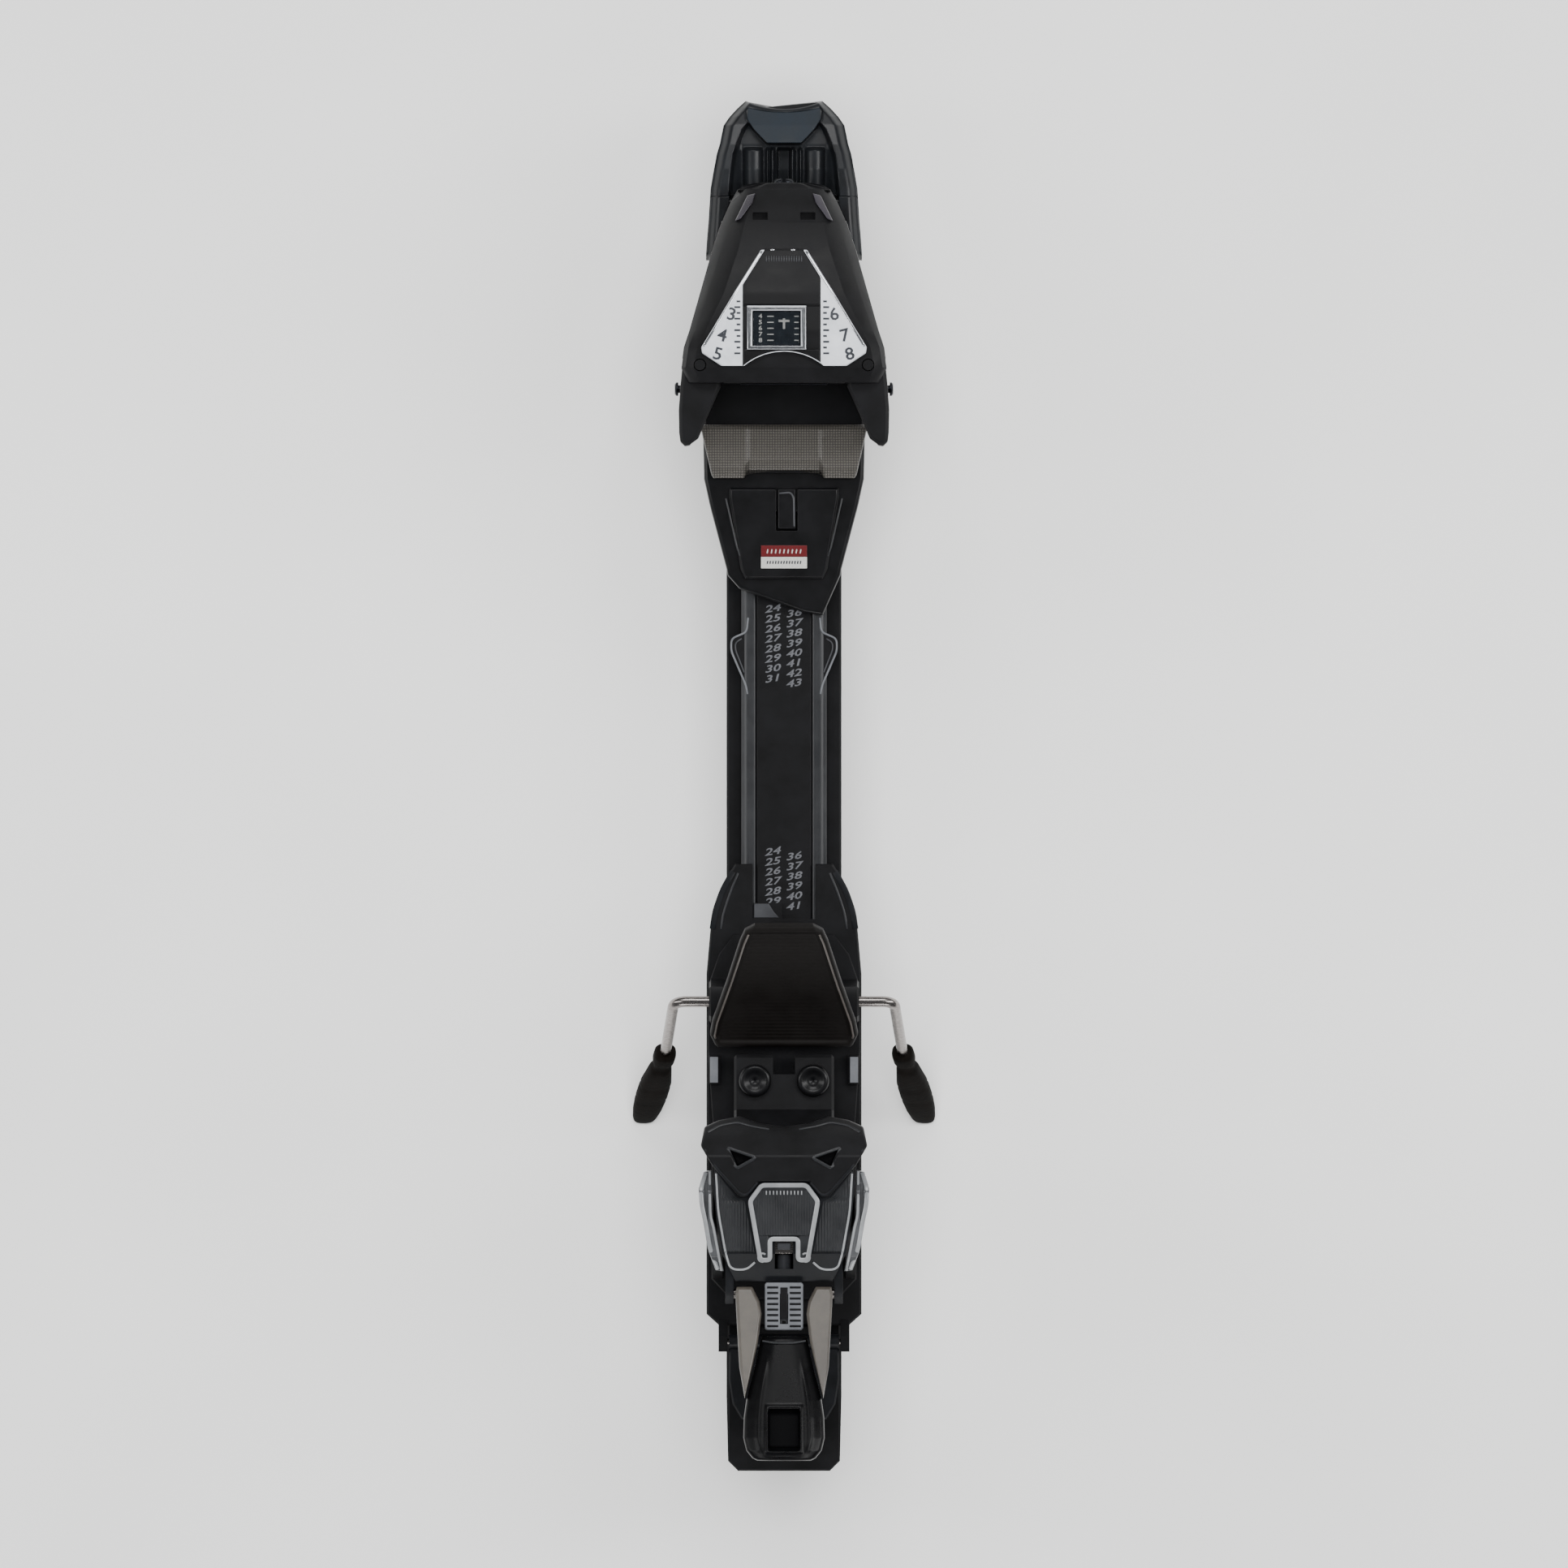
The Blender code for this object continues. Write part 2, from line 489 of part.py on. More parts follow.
# ---------------------------------------------------------------- heel unit base and brake
def build_heel_slide():
    outline = both([(19.5, -38.0), (24.0, -45.0), (29.0, -59.0), (31.0, -82.0), (31.5, -150.0),
                    (31.0, -218.0), (26.0, -222.5)])
    plate = prism("heel_slide_plate", outline, Z_SLIDE, Z_HEEL, "black", 0.7)
    cut(plate, box("heel_scale_gate", -12.6, 12.6, -60.0, -30.0, 0.0, 30.0))
    add(plate, box("heel_index_form", -12.2, -0.8, -62.0, -53.6, Z_SLIDE, Z_SLIDE + 1.6))
    add(plate, *grip_walls("heel", -220.0, -62.0))
    zc = Z_SLIDE + 3.2
    for name, s in sides():
        ear = across("latch_ear_%s" % name, [(-214.0, Z_SLIDE + 0.2), (-233.0, Z_SLIDE + 0.2),
                                             (-233.0, zc + 2.6), (-227.0, zc + 3.6), (-220.0, Z_HEEL)],
                     min(s * 22.6, s * 26.2), max(s * 22.6, s * 26.2))
        add(plate, ear)
    cut(plate, rod("latch_pin_room", (1, 0, 0), (0.0, -229.0, zc), 1.6, -40.0, 40.0, None, 12))
    rod("heel_latch_pin", (1, 0, 0), (0.0, -229.0, zc), 1.3, -25.8, 25.8, "steel", 12)
    latch = prism("heel_length_latch", both([(22.0, -231.5), (22.2, -244.0), (20.6, -254.0),
                                             (17.0, -260.0), (8.0, -262.5)]), zc - 1.4, zc + 1.6,
                  "anthracite", 0.7, (0.0, -229.0, zc))
    add(latch, rod("latch_barrel_form", (1, 0, 0), (0.0, -229.0, zc), 3.0, -22.0, 22.0, None, 16))
    cut(latch, rod("latch_bore_form", (1, 0, 0), (0.0, -229.0, zc), 1.6, -30.0, 30.0, None, 12))
    return plate, latch


def build_heel_base():
    low = Z_HEEL + GAP
    floor = prism("heel_base", both([(29.0, -150.5), (29.0, -204.0), (21.6, -212.0)]), low, low + 3.0,
                  "black", 0.6)
    for name, s in sides():
        cheek = [(-155.0, low + 2.5), (-157.0, 29.0), (-168.4, JAW_Z + 2.0)]
        cheek += [(y, z) for y, z in arc(JAW_Y, JAW_Z, 10.0, 150, 30, 6)][::-1][::-1]
        pts = [(-154.0, low + 2.5), (-158.0, 30.0)]
        pts += [(y, z) for y, z in arc(JAW_Y, JAW_Z, 10.0, 15, 165, 8)]
        pts += [(-200.0, 25.0), (-204.0, low + 2.5)]
        add(floor, across("cheek_%s" % name, pts, min(s * 24.6, s * 28.2), max(s * 24.6, s * 28.2)))
    cut(floor, rod("jaw_pin_room", (1, 0, 0), (0.0, JAW_Y, JAW_Z), JAW_PIN_R + SEAT, -40.0, 40.0, None, 16),
        box("pressure_spring_room", -5.0, 5.0, -208.0, -162.0, low - 1.0, low + 8.0))
    rod("heel_pivot_pin", (1, 0, 0), (0.0, JAW_Y, JAW_Z), JAW_PIN_R, -27.8, 27.8, "steel", 16)
    coil("forward_pressure_spring", (0, 1, 0), (0.0, -206.0, low + 4.0), 3.2, 0.6, 42.0, 8.0,
         "dark_steel", 8, 5)
    return floor


def build_brake_base():
    low = Z_HEEL + GAP
    plate = prism("brake_base", both([(20.0, -66.0), (26.0, -74.0), (29.5, -84.0), (30.5, -100.0),
                                      (30.5, -112.0), (28.0, -150.0)]), low, low + 1.4, "black", 0.4)
    for name, s in sides():
        pts = [(-84.0, low + 1.0), (-87.0, BRAKE_Z + 4.0), (-90.0, BRAKE_Z + 5.0), (-96.0, BRAKE_Z + 5.0),
               (-99.0, BRAKE_Z + 4.0), (-102.0, low + 1.0)]
        add(plate, across("bearing_form_%s" % name, pts, min(s * 22.4, s * 30.0), max(s * 22.4, s * 30.0),
                          None, 0.8))
        add(plate, box("side_pad_form_%s" % name, min(s * 25.4, s * 30.0), max(s * 25.4, s * 30.0),
                       -126.0, -114.5, low + 0.6, low + 5.4, None, 0.8))
    cut(plate, rod("wire_room_form", (1, 0, 0), (0.0, BRAKE_Y, BRAKE_Z), WIRE_R + GAP, -40.0, 40.0,
                   None, 16))
    coil("brake_spring", (1, 0, 0), (-7.0, BRAKE_Y, BRAKE_Z + 0.6), 2.3, 0.6, 14.0, 6.0, "dark_steel",
         8, 5)
    return plate


def bend(path, radius, steps=4):
    """Round the corners of a wire path."""
    pts = [Vector(p) for p in path]
    out = [pts[0]]
    for a, b, c in zip(pts, pts[1:], pts[2:]):
        u, v = (a - b).normalized(), (c - b).normalized()
        half = u.angle(v) / 2.0
        reach = min(radius / math.tan(half), (a - b).length * 0.45, (c - b).length * 0.45)
        p, q = b + u * reach, b + v * reach
        for i in range(steps + 1):
            t = i / steps
            out.append(p * (1 - t) ** 2 + b * 2 * t * (1 - t) + q * t * t)
    out.append(pts[-1])
    return out


def build_brake():
    k = math.tan(math.radians(BRAKE_DROP))
    crank = 20.0
    a = math.radians(64.0)
    tip_y = -140.0

    def down(y):
        return BRAKE_Z + k * (y - BRAKE_Y)

    collar_y, wire_y = -113.5, -120.0
    for name, s in sides():
        def across_at(y):
            bow = BRAKE_OUT + 3.5
            if y > collar_y:
                return s * (BRAKE_OUT + 3.5 * (BRAKE_Y - y) / (BRAKE_Y - collar_y))
            return s * (bow + (BRAKE_TIP_X - bow) * (collar_y - y) / (collar_y - tip_y))

        path = [(s * 8.0, BRAKE_Y + crank * math.cos(a), BRAKE_Z + crank * math.sin(a)),
                (s * 19.0, BRAKE_Y + crank * math.cos(a), BRAKE_Z + crank * math.sin(a)),
                (s * 19.0, BRAKE_Y, BRAKE_Z), (s * BRAKE_OUT, BRAKE_Y, BRAKE_Z),
                (across_at(collar_y), collar_y, down(collar_y)), (across_at(wire_y), wire_y, down(wire_y))]
        wire = bend(path[:5], 5.0)[:-1] + [Vector(path[4]), Vector(path[5])]
        tube("brake_arm_%s" % name, wire, WIRE_R, "steel", 10, (0.0, BRAKE_Y, BRAKE_Z))
        rows = [(collar_y, 3.9, 3.9), (-114.0, 4.4, 4.4), (-116.0, 4.4, 4.4), (-116.5, 3.5, 3.5),
                (-119.0, 3.7, 3.7), (-121.0, 4.9, 4.0), (-125.5, 6.3, 3.9), (-132.0, 6.3, 3.6),
                (-138.0, 5.8, 3.2), (tip_y - 1.2, 4.9, 2.4)]
        ahead = Vector((0.0, -1.0, -k)).normalized()
        back = Vector((0.0, -k, 1.0)).normalized()
        side = Vector((1.0, 0.0, 0.0))
        loops = []
        for y, thick, wide in rows:
            c = Vector((across_at(y), y, down(y)))
            loops.append([tuple(c + side * thick * math.cos(t) + back * wide * math.sin(t))
                          for t in [math.radians(22.5 + 45.0 * i) for i in range(8)]])
        tip = rings("brake_tip_%s" % name, loops, "soft_black", (0.0, BRAKE_Y, BRAKE_Z))
        p0 = Vector((across_at(collar_y + 2.0), collar_y + 2.0, down(collar_y + 2.0)))
        p1 = Vector((across_at(wire_y), wire_y, down(wire_y)))
        p2 = p1 + (p1 - Vector(path[4])).normalized() * 0.5
        cut(tip, tube("tip_socket_%s" % name, [p0, Vector(path[4]), p1, p2], WIRE_R + GAP, None, 12))


def build_pedal():
    place = Vector((0.0, PEDAL_Y, PEDAL_Z))
    turn = Matrix.Rotation(math.radians(PEDAL_UP), 3, "X")
    outline = both([(11.0, -53.4), (15.6, -56.0), (17.6, -61.0), (23.0, -80.0), (28.6, -98.0),
                    (29.6, -104.0), (27.0, -109.6)])
    layers = [(0.4, 0.6), (1.4, 0.0), (PEDAL_T - 1.2, 0.0), (PEDAL_T, 1.4)]
    loops = []
    for up, d in layers:
        loops.append([tuple(place + turn @ Vector((x, y - PEDAL_Y, up))) for x, y in inset(outline, d)])
    rings("brake_pedal", loops, "soft_black", tuple(place))


# ---------------------------------------------------------------- heel jaw and lever
def heel_plan(extra=0.0):
    return both([(26.4 + extra, -150.4), (28.2 + extra, -165.0), (26.8 + extra, -180.0),
                 (24.6 + extra, -193.0), (19.4 + extra, -204.0)])


def build_heel_housing():
    z, top = HEEL_AXIS_Z, HEEL_TOP
    housing = prism("heel_housing", heel_plan(), 20.0, top + 20.0, "anthracite", 0.0,
                    (0.0, JAW_Y, JAW_Z))
    keep(housing, across("heel_side_form", [(-150.4, 35.0), (-150.4, top - 2.0), (-153.0, top),
                                            (-193.0, top), (-204.0, top - 8.0), (-204.0, 54.0),
                                            (-190.0, 39.0), (-185.0, 31.0), (-170.0, 29.5),
                                            (-160.0, 31.0)], -50.0, 50.0))
    for name, s in sides():
        cut(housing, box("cheek_room_%s" % name, min(s * 24.2, s * 50), max(s * 24.2, s * 50), -250.0,
                         -100.0, 0.0, JAW_Z + 11.6))
        ear = [(-192.0, 56.0), (-192.0, 70.0), (-208.0, 67.6), (-213.0, 64.0), (-213.0, 60.0),
               (-208.0, 56.0)]
        add(housing, across("lever_ear_%s" % name, ear, min(s * 20.0, s * 23.4), max(s * 20.0, s * 23.4)))
    cut(housing,
        rod("jaw_bore_form", (1, 0, 0), (0.0, JAW_Y, JAW_Z), JAW_PIN_R + GAP, -50.0, 50.0, None, 16),
        rod("heel_spring_room", (0, -1, 0), (0.0, -156.0, z), 8.8, 0.0, 44.0, None, 24),
        rod("heel_screw_room", (0, -1, 0), (0.0, -195.0, z), 3.5, 0.0, 20.0, None, 16),
        box("heel_pointer_room", -3.6, 3.6, -199.0, -183.0, z + 4.0, top + 4.0),
        rod("lever_pin_room", (1, 0, 0), (0.0, LEVER_Y, LEVER_Z), 2.3, -50.0, 50.0, None, 12))
    rod("heel_plunger", (0, -1, 0), (0.0, -157.0, z), 8.0, 0.0, 7.0, "steel", 20)
    coil("heel_spring", (0, -1, 0), (0.0, -166.0, z), 6.2, 1.4, 17.6, 4.0, "dark_steel")
    nut = box("heel_spring_nut", -5.8, 5.8, -193.4, -186.4, z - 5.8, z + 5.8, "steel", 0.6,
              (0.0, -190.0, z))
    cut(nut, rod("heel_nut_bore", (0, -1, 0), (0.0, -180.0, z), 3.2, 0.0, 20.0, None, 12))
    box("heel_pointer", -2.6, 2.6, -191.4, -188.6, z + 6.1, top - 0.6, "white", 0.0,
        (0.0, -190.0, z + 7.0))
    head = [(2.8, 0.0), (2.8, 15.8), (5.8, 15.8), (5.8, 32.4), (5.0, 33.2)]
    screw = turned("heel_setting_screw", head, (0, -1, 0), (0.0, -188.6, z), "grey", 24)
    cut(screw, box("heel_screw_slot", -0.8, 0.8, -226.0, -219.8, z - 9.0, z + 9.0))
    return housing


def build_heel_shell():
    top = HEEL_TOP
    cup_plan = both([(0.0, -142.6), (10.0, -141.2), (17.6, -138.4), (26.0, -140.0), (31.7, -142.6),
                     (33.2, -150.0), (28.4, -158.0), (18.0, -170.0), (15.0, -170.4), (9.9, -164.0)])
    cup = prism("heel_cup", cup_plan, top - 36.0, top + 24.0, "black", 0.0, (0.0, JAW_Y, JAW_Z))
    keep(cup, across("cup_side_form", [(-136.0, top - 18.0), (-138.4, top - 12.0), (-146.0, top - 1.0),
                                       (-154.0, top + 5.0), (-175.0, top + 5.0), (-175.0, top + SEAT),
                                       (-150.0, top + SEAT), (-150.0, top - 21.0), (-142.0, top - 21.0)],
                     -60.0, 60.0))
    for name, s in sides():
        cut(cup, prism("cup_window_%s" % name, flip([(11.5, -154.0), (22.0, -151.0), (18.6, -158.4)], s),
                       top + 1.4, top + 20.0))
        band = [(28.8, -160.0), (31.6, -160.4), (34.0, -167.0), (33.4, -174.0), (32.0, -180.0),
                (30.2, -191.0), (27.0, -199.6), (23.9, -200.0), (25.2, -194.0), (27.4, -182.0),
                (28.6, -178.0), (28.8, -170.0)]
        shell = prism("heel_side_shell_%s" % name, flip(band, s), 30.0, top + 14.0, "smoke", 0.0,
                      (0.0, JAW_Y, JAW_Z))
        keep(shell, across("shell_side_form_%s" % name,
                           [(-159.0, JAW_Z + 5.0), (-159.0, top - 10.0), (-168.0, top - 2.4),
                            (-194.0, top - 2.4), (-202.0, top - 9.0), (-202.0, JAW_Z + 15.0),
                            (-190.0, JAW_Z + 12.6), (-182.0, JAW_Z + 12.6), (-176.0, JAW_Z + 5.0)],
                           -60.0, 60.0))
        cut(shell, box("shell_slot_%s" % name, min(s * 30.4, s * 31.6), max(s * 30.4, s * 31.6), -192.0,
                       -165.0, top - 6.0, top + 4.0))
    cover = prism("heel_top_cover", both([(9.4, -164.8), (14.3, -171.8), (9.9, -196.0), (5.2, -196.0),
                                          (5.2, -186.0)]), top + SEAT, top + 3.4, "smoke", 1.2)
    treadle = across("heel_treadle", [(-114.2, 23.0), (-114.2, 26.0), (-115.4, 27.0), (-136.0, 28.5),
                                      (-150.0, 46.0), (-150.0, 37.0), (-140.0, 24.0)], -20.0, 20.0,
                     "black", 1.0, (0.0, JAW_Y, JAW_Z))
    cut(treadle, box("treadle_slot", -4.4, 4.4, -122.0, -110.0, 10.0, 40.0))
    for name, s in sides():
        add(treadle, turned("treadle_stud_%s" % name, [(5.0, 0.0), (5.0, 4.0), (4.2, 4.8)], (0, 0, 1),
                            (s * 11.6, -124.5, 25.0), None, 16))
    scale = prism("heel_scale_plate", both([(7.0, -204.4), (7.7, -205.2), (7.7, -222.6), (6.9, -223.5)]),
                  HEEL_AXIS_Z + 6.2, HEEL_AXIS_Z + 9.2, "grey", 0.5)
    cut(scale, box("heel_scale_slot", -1.6, 1.6, -221.0, -209.0, 60.0, 80.0))
    return cup, cover, treadle


def build_lever():
    rise = (LEVER_RISE, -206.0)
    pivot = (0.0, LEVER_Y, LEVER_Z)
    for name, s in sides():
        plan = flip([(18.9, -206.2), (12.6, -206.2), (9.7, -212.0), (8.9, -217.0), (10.3, -228.0),
                     (15.6, -250.6), (17.8, -238.0), (19.4, -209.0)], s)
        plate = prism("lever_plate_%s" % name, plan, 57.0, 70.0, "taupe", 1.0, pivot, rise)
        cut(plate, rod("lever_bore_%s" % name, (1, 0, 0), pivot, 2.4, -40.0, 40.0, None, 12))
        rod("lever_pin_%s" % name, (s, 0, 0), pivot, 2.0, 12.6, 23.2, "steel", 12)
    grip = prism("heel_lever", both([(9.2, -225.8), (9.7, -229.0), (15.0, -251.0), (16.0, -258.0),
                                     (16.2, -266.0), (14.6, -272.0), (11.3, -275.0)]), 60.5, 69.0,
                 "black", 1.6, pivot, rise)
    cut(grip, prism("pole_pocket", both([(5.2, -255.0), (6.2, -258.0), (6.2, -268.0), (4.4, -271.0)]),
                    64.5, 80.0, None, 0.0, (0.0, 0.0, 0.0), rise))
    return grip


def main():
    for obj in list(bpy.data.objects):
        bpy.data.objects.remove(obj, do_unlink=True)
    build_track()
    build_toe_slide()
    build_toe_nose()
    build_toe_housing()
    build_toe_top()
    build_toe_setting()
    for name, s in sides():
        build_wing(name, s)
    build_toe_rest()
    build_heel_slide()
    build_heel_base()
    build_brake_base()
    build_brake()
    build_pedal()
    build_heel_housing()
    build_heel_shell()
    build_lever()


main()
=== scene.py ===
"""Looks of an alpine ski binding on its sliding track: toe unit, length scale, brake and heel unit."""
import math

import bmesh
import bpy
import numpy as np
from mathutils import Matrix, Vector


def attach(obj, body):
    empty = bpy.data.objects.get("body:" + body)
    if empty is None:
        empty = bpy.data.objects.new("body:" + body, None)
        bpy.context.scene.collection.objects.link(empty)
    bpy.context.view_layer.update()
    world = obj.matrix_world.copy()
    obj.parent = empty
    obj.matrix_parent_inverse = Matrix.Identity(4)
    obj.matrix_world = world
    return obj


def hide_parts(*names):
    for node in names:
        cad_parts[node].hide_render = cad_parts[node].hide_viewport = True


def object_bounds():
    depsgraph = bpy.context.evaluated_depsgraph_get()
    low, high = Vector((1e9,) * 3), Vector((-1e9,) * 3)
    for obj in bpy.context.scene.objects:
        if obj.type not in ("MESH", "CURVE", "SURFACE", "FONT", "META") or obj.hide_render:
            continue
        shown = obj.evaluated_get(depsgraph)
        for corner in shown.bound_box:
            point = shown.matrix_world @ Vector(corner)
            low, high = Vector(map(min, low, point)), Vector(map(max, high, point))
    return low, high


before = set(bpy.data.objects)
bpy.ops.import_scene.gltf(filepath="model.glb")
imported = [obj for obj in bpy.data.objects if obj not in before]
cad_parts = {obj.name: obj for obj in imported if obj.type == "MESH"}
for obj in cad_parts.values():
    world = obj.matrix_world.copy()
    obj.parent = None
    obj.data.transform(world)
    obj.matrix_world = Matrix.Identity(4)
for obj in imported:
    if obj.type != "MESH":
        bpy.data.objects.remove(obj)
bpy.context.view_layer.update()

MM = 0.001


# ---------------------------------------------------------------- materials
def srgb(code):
    """sRGB hex to linear red, green, blue and full alpha."""
    raw = np.array([int(code[i:i + 2], 16) for i in (1, 3, 5)]) / 255.0
    lin = np.where(raw <= 0.04045, raw / 12.92, ((raw + 0.055) / 1.055) ** 2.4)
    return (*[float(c) for c in lin], 1.0)


def node(tree, kind, inputs=None, **settings):
    """Adds a node, sets it, and links or fills its inputs."""
    made = tree.nodes.new(kind)
    for key, value in settings.items():
        setattr(made, key, value)
    for key, value in (inputs or {}).items():
        if isinstance(value, bpy.types.NodeSocket):
            tree.links.new(value, made.inputs[key])
        else:
            made.inputs[key].default_value = value
    return made


def blank(name, rough, metal=0.0, ior=1.5, coat=0.0, coat_rough=0.1):
    """An empty finish: its tree, its shader and its object coordinates in millimetres."""
    mat = bpy.data.materials.new(name)
    mat.use_nodes = True
    tree = mat.node_tree
    shader = tree.nodes["Principled BSDF"]
    shader.inputs["Roughness"].default_value = rough
    shader.inputs["Metallic"].default_value = metal
    shader.inputs["IOR"].default_value = ior
    shader.inputs["Coat Weight"].default_value = coat
    shader.inputs["Coat Roughness"].default_value = coat_rough
    coords = node(tree, "ShaderNodeTexCoord").outputs["Object"]
    scaled = node(tree, "ShaderNodeMapping", {"Vector": coords, "Scale": (1000.0, 1000.0, 1000.0)})
    return mat, tree, shader, scaled.outputs["Vector"]


def tint(tree, shader, factor, low, high, start=0.35, end=0.65):
    """Base colour between two close shades as a pattern value goes from start to end."""
    ramp = node(tree, "ShaderNodeValToRGB", {"Fac": factor})
    ramp.color_ramp.elements[0].position, ramp.color_ramp.elements[1].position = start, end
    ramp.color_ramp.elements[0].color, ramp.color_ramp.elements[1].color = srgb(low), srgb(high)
    tree.links.new(ramp.outputs["Color"], shader.inputs["Base Color"])


def relief(tree, shader, height, strength, depth_mm):
    """Fine surface relief of a given depth."""
    bump = node(tree, "ShaderNodeBump", {"Height": height, "Strength": strength,
                                         "Distance": depth_mm * MM})
    tree.links.new(bump.outputs["Normal"], shader.inputs["Normal"])


def vary(tree, shader, factor, low, high):
    """Roughness that wanders between two values."""
    span = node(tree, "ShaderNodeMapRange", {"Value": factor, "From Min": 0.3, "From Max": 0.7,
                                             "To Min": low, "To Max": high})
    tree.links.new(span.outputs["Result"], shader.inputs["Roughness"])


def moulded(name, low, high, rough, grain_mm=0.7, depth_mm=0.05, coat=0.0, spread=0.06, spec=0.5):
    """Spark-eroded mould texture: a fine pebble grain, a slow drift of shade and of gloss. The real
    pebble is about 0.2 mm and is drawn two or three times as coarse, so that it shows."""
    mat, tree, shader, place = blank(name, rough, 0.0, 1.5, coat, 0.12)
    shader.inputs["Specular IOR Level"].default_value = spec
    grain = node(tree, "ShaderNodeTexNoise", {"Vector": place, "Scale": 1.0 / grain_mm, "Detail": 3.0,
                                              "Roughness": 0.6})
    drift = node(tree, "ShaderNodeTexNoise", {"Vector": place, "Scale": 0.09, "Detail": 4.0,
                                              "Roughness": 0.65})
    tint(tree, shader, drift.outputs["Fac"], low, high)
    vary(tree, shader, drift.outputs["Fac"], rough - spread, rough + spread)
    relief(tree, shader, grain.outputs["Fac"], 0.55, depth_mm)
    return mat


def brushed(name, low, high, rough, stretch=(0.25, 9.0, 9.0), depth_mm=0.012, coat=0.0):
    """Drawn or plated metal: noise stretched along the working direction, coarser than the real
    fine lines, so that it shows."""
    mat, tree, shader, place = blank(name, rough, 1.0, 1.5, coat, 0.08)
    drawn = node(tree, "ShaderNodeMapping", {"Vector": place, "Scale": stretch})
    lines = node(tree, "ShaderNodeTexNoise", {"Vector": drawn.outputs["Vector"], "Scale": 1.0,
                                              "Detail": 4.0, "Roughness": 0.7})
    tint(tree, shader, lines.outputs["Fac"], low, high, 0.3, 0.7)
    vary(tree, shader, lines.outputs["Fac"], rough - 0.06, rough + 0.08)
    relief(tree, shader, lines.outputs["Fac"], 0.35, depth_mm)
    return mat


def knurled(name, low, high, rough, pitch_mm, depth_mm):
    """Lacquered pressing with a honeycomb of small studs, each about a pitch apart; its colour is painted
    shade, darker in the net between the studs and paler on their tops.
    """
    mat, tree, shader, place = blank(name, rough, 0.25, 1.5, 0.25, 0.25)
    cells = node(tree, "ShaderNodeTexVoronoi", {"Vector": place, "Scale": 1.0 / pitch_mm,
                                                "Randomness": 0.12}, feature="DISTANCE_TO_EDGE",
                 voronoi_dimensions="2D")
    stud = node(tree, "ShaderNodeMapRange", {"Value": cells.outputs["Distance"], "From Min": 0.03,
                                             "From Max": 0.22, "To Min": 0.0, "To Max": 1.0})
    # painted shade: darker in the net between the studs, paler on their tops
    tint(tree, shader, stud.outputs["Result"], low, high, 0.1, 0.9)
    relief(tree, shader, stud.outputs["Result"], 0.8, depth_mm)
    return mat


def plain_ink(name, low, high, rough):
    """Ink, film or plain resin: nearly even, with a faint unevenness."""
    mat, tree, shader, place = blank(name, rough)
    print_grain = node(tree, "ShaderNodeTexNoise", {"Vector": place, "Scale": 1.6, "Detail": 3.0})
    tint(tree, shader, print_grain.outputs["Fac"], low, high)
    relief(tree, shader, print_grain.outputs["Fac"], 0.2, 0.02)
    return mat


